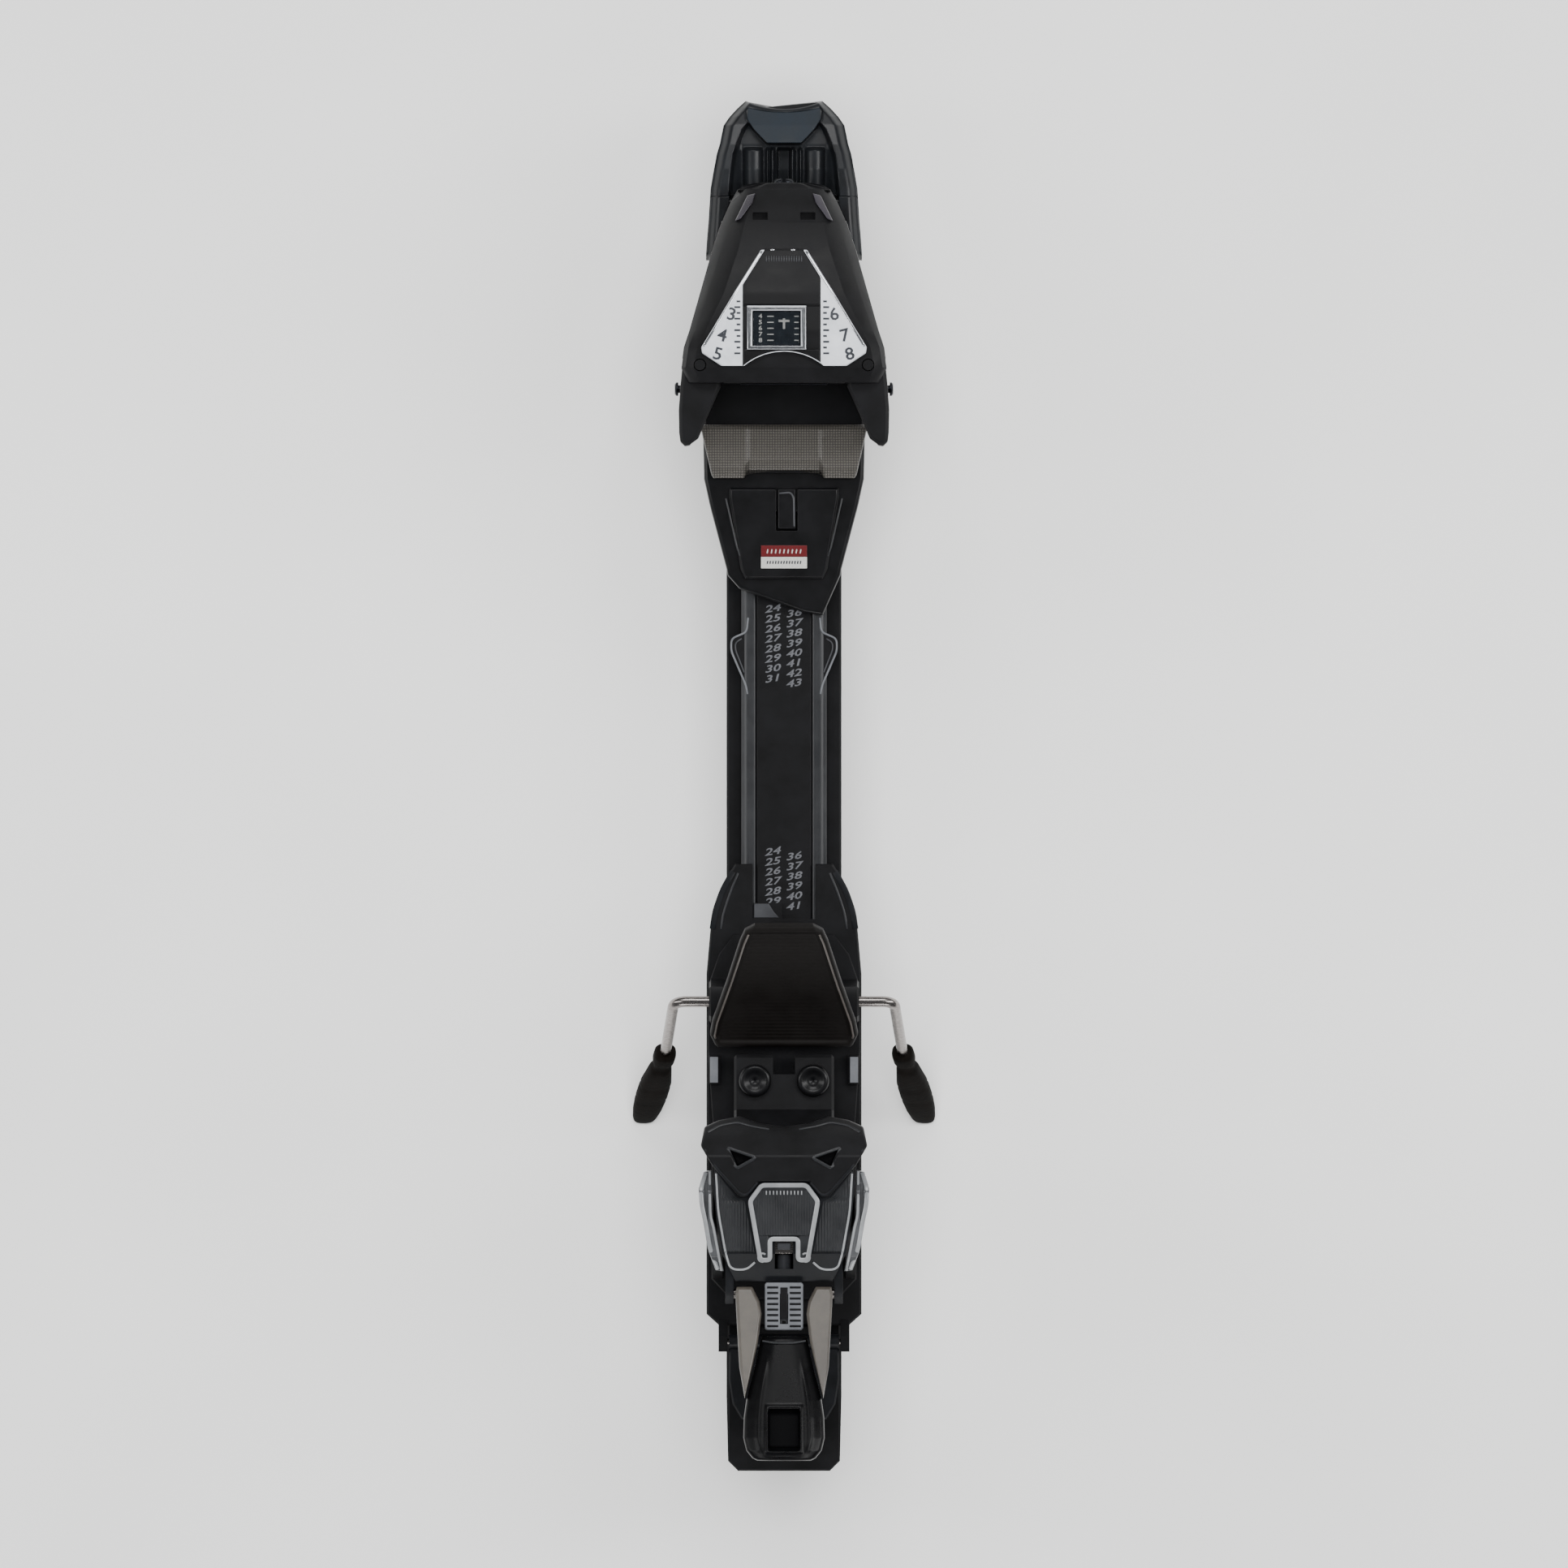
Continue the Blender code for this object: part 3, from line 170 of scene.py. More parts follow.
FINISH = {
    # glass-filled polyamide, spark-eroded mould: matt black with a fine pebble and a dull sheen
    "black": moulded("polyamide_black_matt", "#0a0a0b", "#0e0e10", 0.48, 0.6, 0.05, spec=0.24),
    # the same resin from a smoother mould: broad soft highlights
    "satin_black": moulded("polyamide_black_satin", "#080809", "#0c0c0e", 0.34, 0.5, 0.02, 0.06,
                           spec=0.26),
    # the same resin, polished mould: a quiet, even highlight on the crowned grip
    "gloss_black": moulded("polyamide_black_polished", "#060607", "#09090a", 0.30, 0.5, 0.01, 0.02,
                           0.08, spec=0.13),
    # thermoplastic elastomer: deep, faintly brown black with hardly any sheen
    "soft_black": moulded("elastomer_brown_black", "#0a0807", "#0e0c0b", 0.60, 0.9, 0.07, spec=0.2),
    # moulded elastomer of the brake tips: browner and mottled by handling
    "tip_brown": moulded("elastomer_scuffed_brown", "#070605", "#14110f", 0.72, 2.0, 0.30, spec=0.06),
    # painted highlight: a paler, browner line along the pad's rim where it catches the light, slightly
    # glossier
    "rim_brown": moulded("elastomer_rim_painted_highlight", "#3a3633", "#484340", 0.36, 0.6, 0.03, 0.1),
    # dyed polyamide from a smooth mould: near-black grey with a soft sheen
    "nose_grey": moulded("polyamide_nose_anthracite", "#121315", "#181a1d", 0.36, 0.5, 0.015, 0.06,
                         spec=0.26),
    # dyed polyamide, smooth: cool blue-grey that takes the light evenly
    "saddle_grey": moulded("polyamide_saddle_blue_grey", "#13191f", "#1a2128", 0.42, 0.5, 0.012, 0.0,
                           spec=0.18),
    # dyed polyamide, fine pebble: a shade lighter than the black beside it
    "dark_grey": moulded("polyamide_dark_grey", "#0f1012", "#151619", 0.42, 0.6, 0.04, spec=0.22),
    # dyed polyamide, smooth: fine ribs and rims stand out by their sheen
    "rib_grey": moulded("polyamide_rib_grey", "#191a1c", "#222325", 0.36, 0.5, 0.015, 0.1, spec=0.35),
    # dyed polyamide, satin, a lighter grey than the black: on the rail's chamfers it is painted sheen, where
    # the slopes catch the light
    "rail_grey": moulded("polyamide_rail_grey", "#1c1d1f", "#252628", 0.36, 0.8, 0.02, 0.0),
    # satin lacquer over a die casting: grey with a violet cast
    "mauve": moulded("lacquer_mauve_grey", "#1e1b22", "#27232c", 0.30, 0.4, 0.015, 0.3),
    # silver pigment in smoked polycarbonate: glossy, a little deep
    "smoke": moulded("polycarbonate_smoked_silver", "#38393b", "#454648", 0.24, 0.5, 0.012, 0.35, 0.04),
    # painted highlight: the same resin drawn pale along its edges, where they catch the light; the cover's
    # teeth are drawn in it too
    "smoke_edge": moulded("polycarbonate_lit_edge", "#6f7173", "#828486", 0.22, 0.5, 0.01, 0.4, 0.04),
    # lacquered steel pressing, knurled: pale studs in a darker net, the net's darkness painted shade
    "taupe": knurled("lacquer_taupe_knurled", "#2c2a28", "#53504b", 0.36, 1.05, 0.22),
    # the same lacquer on a plain face: warm grey satin
    "taupe_plain": moulded("lacquer_taupe_satin", "#3f3b37", "#4b4741", 0.36, 0.5, 0.015, 0.2),
    # dyed polyamide, matt: middle grey of tabs and pointers
    "grey": moulded("polyamide_mid_grey", "#2b2c2f", "#36373a", 0.42, 0.6, 0.04),
    # dyed polyamide, matt: the palest grey moulding
    "pale_grey": moulded("polyamide_pale_grey", "#505256", "#5f6165", 0.38, 0.6, 0.03),
    # painted shade: a rough, nearly lightless black for recesses, gaps and floors under things; the scale
    # cards and the pointer's stem use the same black
    "void": moulded("black_and_painted_recess_shade", "#030304", "#050506", 0.7, 0.8, 0.05, spec=0.1),
    # silver lacquer over a moulding: bright and even, with a fine grain
    "silver": moulded("lacquer_silver", "#bfc2c7", "#d4d7dc", 0.34, 0.35, 0.01, 0.25),
    # chrome plate: bright, with the faint haze of plating on a moulding
    "chrome": brushed("chrome_plate", "#c4c6ca", "#d8dadd", 0.16, (0.6, 0.6, 0.6), 0.004),
    # drawn spring steel, polished: a clear streak along the wire
    "steel": brushed("spring_steel_polished", "#7f7a77", "#a19c99", 0.24, (0.4, 2.2, 0.4), 0.008),
    # blued spring steel: dark, with a dull metal sheen
    "dark_steel": brushed("spring_steel_blued", "#1d1e21", "#303135", 0.36, (3.0, 3.0, 3.0), 0.02),
    # natural acetal: opaque, slightly warm white
    "white": plain_ink("acetal_white", "#b4b4b0", "#c4c4c0", 0.45),
    # pad-printed ink: flat middle grey
    "ink": plain_ink("print_mid_grey", "#494a4e", "#57585c", 0.50),
    # embossed and filled marks: dark, a little glossy
    "dark_ink": plain_ink("embossed_dark_grey", "#26282c", "#33353a", 0.35),
    # printed label film: flat red above, flat white below
    "label_red": plain_ink("label_film_red", "#47050a", "#55080d", 0.40),
    "label_white": plain_ink("label_film_white", "#a4a4a0", "#b4b4b0", 0.40),
}


def clear_pane():
    """Smoked clear polycarbonate: glossy, dark, with moulding flow in its surface."""
    mat, tree, shader, place = blank("polycarbonate_smoked_clear", 0.06, 0.0, 1.58)
    shader.inputs["Alpha"].default_value = 0.22
    flow = node(tree, "ShaderNodeTexNoise", {"Vector": place, "Scale": 0.3, "Detail": 2.0})
    tint(tree, shader, flow.outputs["Fac"], "#23282e", "#2c3238")
    relief(tree, shader, flow.outputs["Fac"], 0.05, 0.02)
    return mat


FINISH["pane"] = clear_pane()


# ---------------------------------------------------------------- carried-over CAD pieces
def keep_node(name, finish, width_mm):
    """A CAD node keeps its shape: its flats are joined up, its edges rounded, its finish set."""
    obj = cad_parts[name]
    obj.data.materials.clear()
    obj.data.materials.append(FINISH[finish])
    obj.data.polygons.foreach_set("use_smooth", np.ones(len(obj.data.polygons), bool))
    weld = obj.modifiers.new("weld", "WELD")
    weld.merge_threshold = 1e-6
    flats = obj.modifiers.new("flats", "DECIMATE")
    flats.decimate_type = "DISSOLVE"
    flats.angle_limit = math.radians(1.0)
    if width_mm:
        bevel = obj.modifiers.new("edges", "BEVEL")
        bevel.width = width_mm * MM
        bevel.segments = 3
        bevel.limit_method = "ANGLE"
        bevel.angle_limit = math.radians(28.0)
        bevel.use_clamp_overlap = True
        bevel.harden_normals = False
    normals = obj.modifiers.new("normals", "WEIGHTED_NORMAL")
    normals.keep_sharp = True
    normals.weight = 80


# finish and width of the rounded edges in millimetres: the CAD nodes that carry them
KEPT = {
    ("black", 0.2): ["wing_pin_left", "wing_pin_right"],
    ("black", 0.25): ["length_scale_strip"],
    ("black", 0.4): ["toe_rest_guide"],
    ("black", 0.5): ["track_base", "brake_base"],
    ("black", 0.6): ["heel_slide_plate", "heel_base", "heel_treadle"],
    ("black", 1.0): ["toe_housing", "toe_wing_left", "toe_wing_right", "heel_cup"],
    ("dark_grey", 0.5): ["track_end_stop"],
    ("dark_grey", 0.6): ["heel_length_latch"],
    ("dark_grey", 0.8): ["heel_housing"],
    ("dark_steel", 0.0): ["toe_spring", "forward_pressure_spring", "brake_spring", "heel_spring"],
    ("dark_steel", 0.2): ["wing_stud_left", "wing_stud_right"],
    ("dark_steel", 0.3): ["track_screw_front", "track_screw_middle", "track_screw_rear", "toe_draw_rod",
                          "toe_setting_screw"],
    ("satin_black", 0.2): ["toe_slide_cover"],
    ("satin_black", 0.4): ["toe_length_latch"],
    ("satin_black", 0.6): ["toe_slide_plate"],
    ("silver", 0.4): ["toe_top_plate"],
    ("chrome", 0.25): ["toe_window_frame"],
    ("pane", 0.2): ["toe_window_pane"],
    ("mauve", 0.4): ["toe_shoulder_trim_left", "toe_shoulder_trim_right"],
    ("steel", 0.2): ["heel_latch_pin", "lever_pin_left", "lever_pin_right"],
    ("steel", 0.3): ["toe_spring_nut", "heel_plunger", "heel_spring_nut"],
    ("steel", 0.4): ["heel_pivot_pin"],
    ("smoke", 0.6): ["heel_side_shell_left", "heel_side_shell_right"],
    ("rib_grey", 0.5): ["heel_top_cover"],
    ("grey", 0.2): ["heel_pointer"],
    ("grey", 0.5): ["heel_setting_screw"],
    ("pale_grey", 0.3): ["heel_scale_plate"],
    ("taupe_plain", 0.6): ["lever_plate_left", "lever_plate_right"],
}
for (finish, width), cad_names in KEPT.items():
    for cad_name in cad_names:
        keep_node(cad_name, finish, width)


# ---------------------------------------------------------------- shapes
SIDES = (("left", -1.0), ("right", 1.0))


def between(value, rows):
    """Straight-line table: rows of (place, size), in rising or falling order."""
    rows = np.array(sorted(rows), float)
    return np.interp(value, rows[:, 0], rows[:, 1])


def step(value, start, end):
    """Smooth step from 0 at start to 1 at end, flat at both."""
    t = np.clip((np.asarray(value, float) - start) / (end - start), 0.0, 1.0)
    return t * t * (3.0 - 2.0 * t)


def crowd(n):
    """n places from 0 to 1, half a cosine apart, so that they crowd towards both ends."""
    return (1.0 - np.cos(np.linspace(0.0, np.pi, n))) / 2.0


def loft(loops, closed=False):
    """Section j is joined to section j + 1 point by point; the ends are capped unless the path closes.
    The faces are turned outwards by the sign of the volume they enclose."""
    loops = np.asarray(loops, float)
    n, m = loops.shape[:2]
    place = np.arange(n * m).reshape(n, m)
    near = place if closed else place[:-1]
    far = np.roll(place, -1, 0) if closed else place[1:]
    quads = np.stack([near, np.roll(near, -1, 1), np.roll(far, -1, 1), far], -1).reshape(-1, 4)
    caps = [] if closed else [place[0][::-1], place[-1]]
    pts = loops.reshape(-1, 3)
    a, b, c, d = (pts[quads[:, i]] for i in range(4))
    volume = (np.einsum("ij,ij->", a, np.cross(b, c)) + np.einsum("ij,ij->", a, np.cross(c, d)))
    for cap in caps:
        p = pts[cap]
        volume += np.einsum("ij,ij->", np.repeat(p[:1], len(p) - 2, 0), np.cross(p[1:-1], p[2:]))
    faces = [list(map(int, f)) for f in quads] + [list(map(int, f)) for f in caps]
    if volume < 0.0:
        faces = [f[::-1] for f in faces]
    return pts, faces


def piece(name, body, finish, parts, stands_for=(), smooth=True, edge_mm=0.0):
    """One or more closed forms, in millimetres, become one piece that rides a body."""
    points, faces, start = [], [], 0
    for pts, own in parts:
        points.append(pts)
        faces += [[i + start for i in f] for f in own]
        start += len(pts)
    mesh = bpy.data.meshes.new(name)
    mesh.from_pydata((np.concatenate(points) * MM).tolist(), [], faces)
    mesh.polygons.foreach_set("use_smooth", np.full(len(mesh.polygons), smooth))
    mesh.materials.append(FINISH[finish])
    obj = bpy.data.objects.new(name, mesh)
    bpy.context.scene.collection.objects.link(obj)
    if edge_mm:
        bevel = obj.modifiers.new("edges", "BEVEL")
        bevel.width, bevel.segments = edge_mm * MM, 2
        bevel.limit_method, bevel.angle_limit = "ANGLE", math.radians(35.0)
    if smooth:
        normals = obj.modifiers.new("normals", "WEIGHTED_NORMAL")
        normals.keep_sharp, normals.weight = True, 60
    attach(obj, body)
    if stands_for:
        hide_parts(*stands_for)


def crust(x, y, top, low, lip=0.0):
    """Grid of places x, y with a top height and a flat underside; towards the rim the top falls
    away as a quarter round of radius lip, by the distance to the nearest edge of the grid."""
    x, y, top = (np.asarray(v, float) for v in np.broadcast_arrays(x, y, top))
    low = np.broadcast_to(np.asarray(low, float), x.shape)
    if lip:
        sides = np.minimum(np.hypot(x - x[:, :1], y - y[:, :1]),
                           np.hypot(x - x[:, -1:], y - y[:, -1:]))
        ends = np.minimum(np.hypot(x - x[:1], y - y[:1]), np.hypot(x - x[-1:], y - y[-1:]))
        d = np.minimum(sides, ends)
        t = np.clip(d / lip, 0.0, 1.0)
        top = top - lip * (1.0 - np.sqrt(1.0 - (1.0 - t) ** 2))
    back = np.unique(np.r_[0:x.shape[1]:8, x.shape[1] - 1])[::-1]
    over = np.stack([x, y, top], -1)
    under = np.stack([x, y, low], -1)[:, back]
    return loft(np.concatenate([over, under], 1))


def slab(x, y, top, thick):
    """Thin sheet: a grid of top heights and the same grid a thickness lower."""
    x, y, top = (np.asarray(v, float) for v in np.broadcast_arrays(x, y, top))
    over = np.stack([x, y, top], -1)
    return loft(np.concatenate([over, (over - [0.0, 0.0, thick])[:, ::-1]], 1))


def rounded(points, reach, steps=6, closed=False):
    """Corners of a path become quadratic curves that start and end a reach away from them."""
    pts = np.asarray(points, float)
    t = np.linspace(0.0, 1.0, steps)[:, None]
    out = [] if closed else [pts[:1]]
    for i in range(0 if closed else 1, len(pts) if closed else len(pts) - 1):
        a, b, c = pts[i - 1], pts[i], pts[(i + 1) % len(pts)]
        la, lc = np.linalg.norm(a - b), np.linalg.norm(c - b)
        p = b + (a - b) * min(reach, la * 0.45) / la
        q = b + (c - b) * min(reach, lc * 0.45) / lc
        out.append(p * (1 - t) ** 2 + b * 2 * t * (1 - t) + q * t * t)
    return np.concatenate(out if closed else out + [pts[-1:]])


def bead(width, height, power=0.6, n=16):
    """Rounded bar section: cosine and sine drawn towards a rectangle by a power below one."""
    a = np.linspace(0.0, 2 * np.pi, n, endpoint=False) + np.pi / n
    return np.stack([width / 2 * np.sign(np.cos(a)) * np.abs(np.cos(a)) ** power,
                     height / 2 * np.sign(np.sin(a)) * np.abs(np.sin(a)) ** power], -1)


def carried(path, section, closed=False):
    """A section carried along a path: its first measure lies level and square to the path, its
    second is square to both."""
    path = np.asarray(path, float)
    ahead = np.roll(path, -1, 0) - np.roll(path, 1, 0) if closed else np.gradient(path, axis=0)
    ahead /= np.linalg.norm(ahead, axis=1, keepdims=True)
    side = np.cross(ahead, [0.0, 0.0, 1.0])
    side /= np.linalg.norm(side, axis=1, keepdims=True)
    up = np.cross(side, ahead)
    ring = side[:, None] * section[None, :, :1] + up[:, None] * section[None, :, 1:]
    return loft(path[:, None] + ring, closed)


def turned(centre, profile, n=40):
    """A closed profile of (radius, height) turned about a vertical axis."""
    a = np.linspace(0.0, 2 * np.pi, n, endpoint=False)[:, None]
    r, h = np.asarray(profile, float).T
    return loft(np.stack([centre[0] + np.cos(a) * r, centre[1] + np.sin(a) * r, centre[2] + 0 * a + h], -1),
                closed=True)


def figures(name, body, finish, rows, tall, deep=0.12, lean=0.0, wide=1.0):
    """Scale figures: each row is (text, x, y, z, turn, rise per mm of y). The letters are made a mesh
    first, then stretched, leaned, turned and set down on the slope."""
    parts = []
    for text, x, y, z, turn, rise in rows:
        curve = bpy.data.curves.new("figure", "FONT")
        curve.body, curve.size, curve.extrude = text, tall / 0.7, deep / 2
        curve.offset = 0.025 * tall
        curve.align_x, curve.align_y, curve.resolution_u = "CENTER", "CENTER", 2
        holder = bpy.data.objects.new("figure", curve)
        bpy.context.scene.collection.objects.link(holder)
        bpy.context.view_layer.update()
        flat = bpy.data.meshes.new_from_object(holder)
        shape = bmesh.new()
        shape.from_mesh(flat)
        bmesh.ops.remove_doubles(shape, verts=shape.verts, dist=1e-4)
        pts = np.array([v.co for v in shape.verts], float)
        faces = [[v.index for v in f.verts] for f in shape.faces]
        shape.free()
        bpy.data.objects.remove(holder)
        bpy.data.curves.remove(curve)
        bpy.data.meshes.remove(flat)
        px, py = pts[:, 0] * wide + pts[:, 1] * lean, pts[:, 1]
        c, s = math.cos(math.radians(turn)), math.sin(math.radians(turn))
        qx, qy = px * c - py * s, px * s + py * c
        parts.append((np.stack([x + qx, y + qy, z + qy * rise + pts[:, 2]], -1), faces))
    piece(name, body, finish, parts, smooth=False)


def bars(rows):
    """Upright-sided marks: each row is (x, y, z, length, width, height, turn, rise per mm of y)."""
    parts = []
    for x, y, z, length, width, height, turn, rise in rows:
        c, s = math.cos(math.radians(turn)), math.sin(math.radians(turn))
        ends = np.array([[-length / 2, 0.0], [length / 2, 0.0]])
        path = np.stack([x + ends[:, 0] * c, y + ends[:, 0] * s, z + ends[:, 0] * s * rise], -1)
        parts.append(carried(path, bead(width, height, 0.35, 8)))
    return parts


def height_at(y, outline):
    """Height of a side outline at one place along the binding."""
    return float(between(y, outline))


def slope_at(y, outline):
    """Rise of a side outline per millimetre of y, measured over two millimetres."""
    return float(between(y + 1, outline) - between(y - 1, outline)) / 2


def on_outline(side, line, outline, lift):
    """Points of a line, mirrored by side and set a lift above a side outline."""
    return [(side * x, y, height_at(y, outline) + lift) for x, y in line]


def line_bead(name, body, finish, path, width, height, power=0.8, n=10, closed=False):
    """A narrow rounded bead along a path, as a piece of its own."""
    piece(name, body, finish, [carried(path, bead(width, height, power, n), closed)])



# ---------------------------------------------------------------- toe unit
ROOF = [(234.4, 36.4), (231.5, 38.0), (226.0, 41.0), (218.0, 45.5), (207.0, 51.0), (190.0, 56.5),
        (175.0, 59.0), (168.0, 59.3), (160.0, 59.3), (154.0, 58.5)]
HOUSING_WIDE = [(231.5, 18.5), (226.0, 21.5), (218.0, 25.0), (207.0, 28.7), (190.0, 33.5)]
NOSE_WIDE = [(202.0, 31.2), (206.0, 31.2), (212.0, 30.8), (219.0, 30.2), (232.0, 29.4), (239.0, 28.2),
             (246.0, 26.9), (250.0, 25.7), (257.5, 24.2), (261.0, 21.8), (264.5, 18.6), (267.5, 15.3)]
NOSE_CREST = [(202.0, 16.4), (229.0, 16.8), (240.0, 16.2), (250.0, 14.2), (258.0, 11.4), (264.0, 8.8),
              (268.0, 7.2)]
NOSE_REAR, NOSE_LENGTH = 229.0, 38.5
NOSE_FRONT, NOSE_CORNERS_AHEAD = 264.4, 3.1
NOSE_EDGE = 1.4
NOSE_UNDERSIDE = 1.2
LEG_REAR = 203.6
LEG_UNDER = 16.2
BAY_WIDE = [(229.0, 21.9), (232.0, 21.9), (240.0, 21.2), (246.0, 20.4), (250.0, 19.0), (256.0, 16.6),
            (262.0, 12.0)]
BAY_FLOOR = [(229.0, 6.4), (240.0, 7.6), (250.0, 7.0), (258.0, 5.4)]
SADDLE_WIDE = [(249.8, 6.4), (252.0, 8.6), (256.0, 12.4), (260.0, 15.2), (263.0, 15.6), (268.0, 13.0)]
SADDLE_HIGH = [(249.5, 12.4), (257.5, 9.9), (263.0, 7.8), (267.5, 6.2)]


def crest_height(inward, y):
    """The crest's line less a round that falls away towards the rim."""
    return between(y, NOSE_CREST) - 3.4 * (1.0 - step(inward, 0.0, 4.6)) ** 1.4


def saddle_height(x, y):
    """The saddle's side outline, raised by the square of the distance from the middle."""
    return between(y, SADDLE_HIGH) + 0.25 * (x / 15.0) ** 2


def nose_height(x, y, wide):
    """Horseshoe crest a few millimetres in from the rim; inside it a bay with a rounded panel each
    side, two thin ridges and a slot; across the front a saddle that narrows to the rear."""
    ax = np.abs(x)
    z = crest_height(wide - ax, y)
    in_bay = step(between(y, BAY_WIDE) - ax, -0.4, 1.4) * (1.0 - step(y, 257.5, 260.5))
    # the outermost part of the bay climbs back to the crest in a long hollow
    floor = between(y, BAY_FLOOR) + 3.6 * step(ax, 16.6, 21.6)
    panel_end = 1.0 - step(y, 247.5, 249.0)
    panel = np.sqrt(np.clip(1.0 - ((ax - 12.4) / 3.9) ** 2, 0.0, 1.0)) * 4.2 * panel_end
    ridge = (np.exp(-((x + 4.6) / 0.75) ** 2) + np.exp(-((x - 3.4) / 0.75) ** 2)
             + 0.55 * np.exp(-((ax - 6.6) / 0.5) ** 2)) * 4.4 * panel_end
    slot = -3.6 * (1.0 - step(ax, 2.3, 2.9)) * panel_end
    z = z * (1.0 - in_bay) + (floor + panel + ridge + slot) * in_bay
    on_saddle = step(between(y, SADDLE_WIDE) - ax, -0.35, 0.35) * step(y, 249.7, 250.5)
    return z * (1.0 - on_saddle) + saddle_height(ax, y) * on_saddle


def nose_leg(side):
    """The crest carried to the rear beside the housing: a rim that sinks at its tail, over an
    underside that steps down outside the housing's flank."""
    y = np.linspace(LEG_REAR, 229.2, 40)[:, None]
    out = between(y, NOSE_WIDE)
    inn = np.minimum(np.maximum(between(y, HOUSING_WIDE) + 0.3, 21.9), out - 1.2)
    ax = out + (inn - out) * np.linspace(0.0, 1.0, 26)[None]
    tail = np.clip((y - LEG_REAR) / 3.0, 0.0, 1.0)
    top = np.maximum(crest_height(out - ax, y) - 5.0 * (1.0 - tail) ** 2, 9.0)
    rim = np.stack([side * ax, y + 0 * ax, top], -1)
    lip = np.minimum(np.maximum(inn, 24.95), out - 0.6)
    shelf = np.minimum(LEG_UNDER, top[:, -1:] - 0.2)
    under = [np.stack([side * px + 0 * y, y, 0 * y + pz], -1)
             for px, pz in ((inn, shelf), (lip, shelf), (lip, NOSE_UNDERSIDE), (out, NOSE_UNDERSIDE))]
    return loft(np.concatenate([rim] + under, 1))


def build_nose():
    """Places across run with the rim's half width, and forward to an edge that is hollow by
    the square of the distance from the middle; the legs carry the same crest to the rear."""
    u, v = np.linspace(-1.0, 1.0, 190)[None], np.linspace(0.0, 1.0, 120)[:, None]
    x = u * between(NOSE_REAR + v * NOSE_LENGTH, NOSE_WIDE)
    y = NOSE_REAR + v * (NOSE_FRONT + NOSE_CORNERS_AHEAD * u ** 2 - NOSE_REAR)
    z = nose_height(x, y, between(y, NOSE_WIDE))
    edge = np.clip((1.0 - v) * 36.0 / NOSE_EDGE, 0.0, 1.0)
    z = z - NOSE_EDGE * (1.0 - np.sqrt(1.0 - (1.0 - edge) ** 2))
    parts = [crust(x, y, z, NOSE_UNDERSIDE)] + [nose_leg(s) for s in (-1.0, 1.0)]
    piece("nose_cover_shell", "toe_unit", "nose_grey", parts, ("toe_nose_cover",))
    # painted shade: a dark sheet under the housing's front, and dark filler strips between its flanks and
    # the legs
    x, y = np.linspace(-24.8, 24.8, 12)[None], np.linspace(203.8, 229.6, 12)[:, None]
    piece("nose_underfloor", "toe_unit", "void", [slab(x, y, 12.3, 0.5)])
    x, y = np.linspace(19.6, 22.8, 6)[None], np.linspace(225.6, 231.2, 8)[:, None]
    piece("nose_gap_filler", "toe_unit", "void", [slab(s * x, y, 5.4, 0.5) for s in (-1.0, 1.0)])
    # the saddle's skin lies on the shell, a hair proud and narrower than the saddle
    v = np.linspace(0.0, 1.0, 40)[:, None]
    y = 250.4 + v * (262.8 + 2.0 * u ** 2 - 250.4)
    x = u * between(y, [(249.8, 6.0), (252.0, 8.2), (256.0, 12.0), (260.0, 14.6), (265.0, 14.4)])
    piece("nose_saddle_skin", "toe_unit", "saddle_grey", [slab(x, y, saddle_height(x, y) + 0.25, 0.5)])


PLATE_EDGE = [(207.0, 9.2), (190.0, 19.8), (175.0, 28.7), (168.0, 33.0)]
FILM_LEFT, FILM_RIGHT = -16.5, 14.6
FILM_REAR, FILM_MIDDLE, FILM_FRONT = 167.1, 184.6, 207.5
# heights above the housing's roof: film, tick and figure on the plate, and marks on the film
FILM_LIFT, TICK_LIFT, FIGURE_LIFT, MARK_LIFT, PLATE_BEAD_LIFT = 2.32, 2.15, 2.12, 2.38, 2.2


def build_plate_film():
    """Black film down the middle of the silver plate: sheets between a left and a right edge at
    the plate's height, and a last one that ends in an arc."""
    def film(y0, y1, left, right):
        y = np.linspace(y0, y1, 26)[:, None]
        lo, hi = left(y), right(y)
        x = lo + (hi - lo) * np.linspace(0.0, 1.0, 16)[None]
        return slab(x, y, between(y, ROOF) + FILM_LIFT, 0.3)

    def inside_edge(y):
        return between(y, PLATE_EDGE) - 1.5

    parts = [film(FILM_MIDDLE, FILM_FRONT, lambda y: -np.minimum(inside_edge(y), -FILM_LEFT),
                  lambda y: np.minimum(inside_edge(y), FILM_RIGHT))]
    for x0, x1 in ((FILM_LEFT, -14.7), (8.8, FILM_RIGHT)):
        parts.append(film(FILM_REAR, FILM_MIDDLE, lambda y: x0 + 0 * y, lambda y: x1 + 0 * y))
    x = np.linspace(FILM_LEFT, FILM_RIGHT, 40)[:, None]
    arc = 141.3 + np.sqrt(25.3 ** 2 - x ** 2)
    y = arc + (FILM_REAR - arc) * np.linspace(0.0, 1.0, 8)[None]
    parts.append(slab(x, y, between(y, ROOF) + FILM_LIFT, 0.3))
    piece("top_plate_film", "toe_unit", "black", parts)


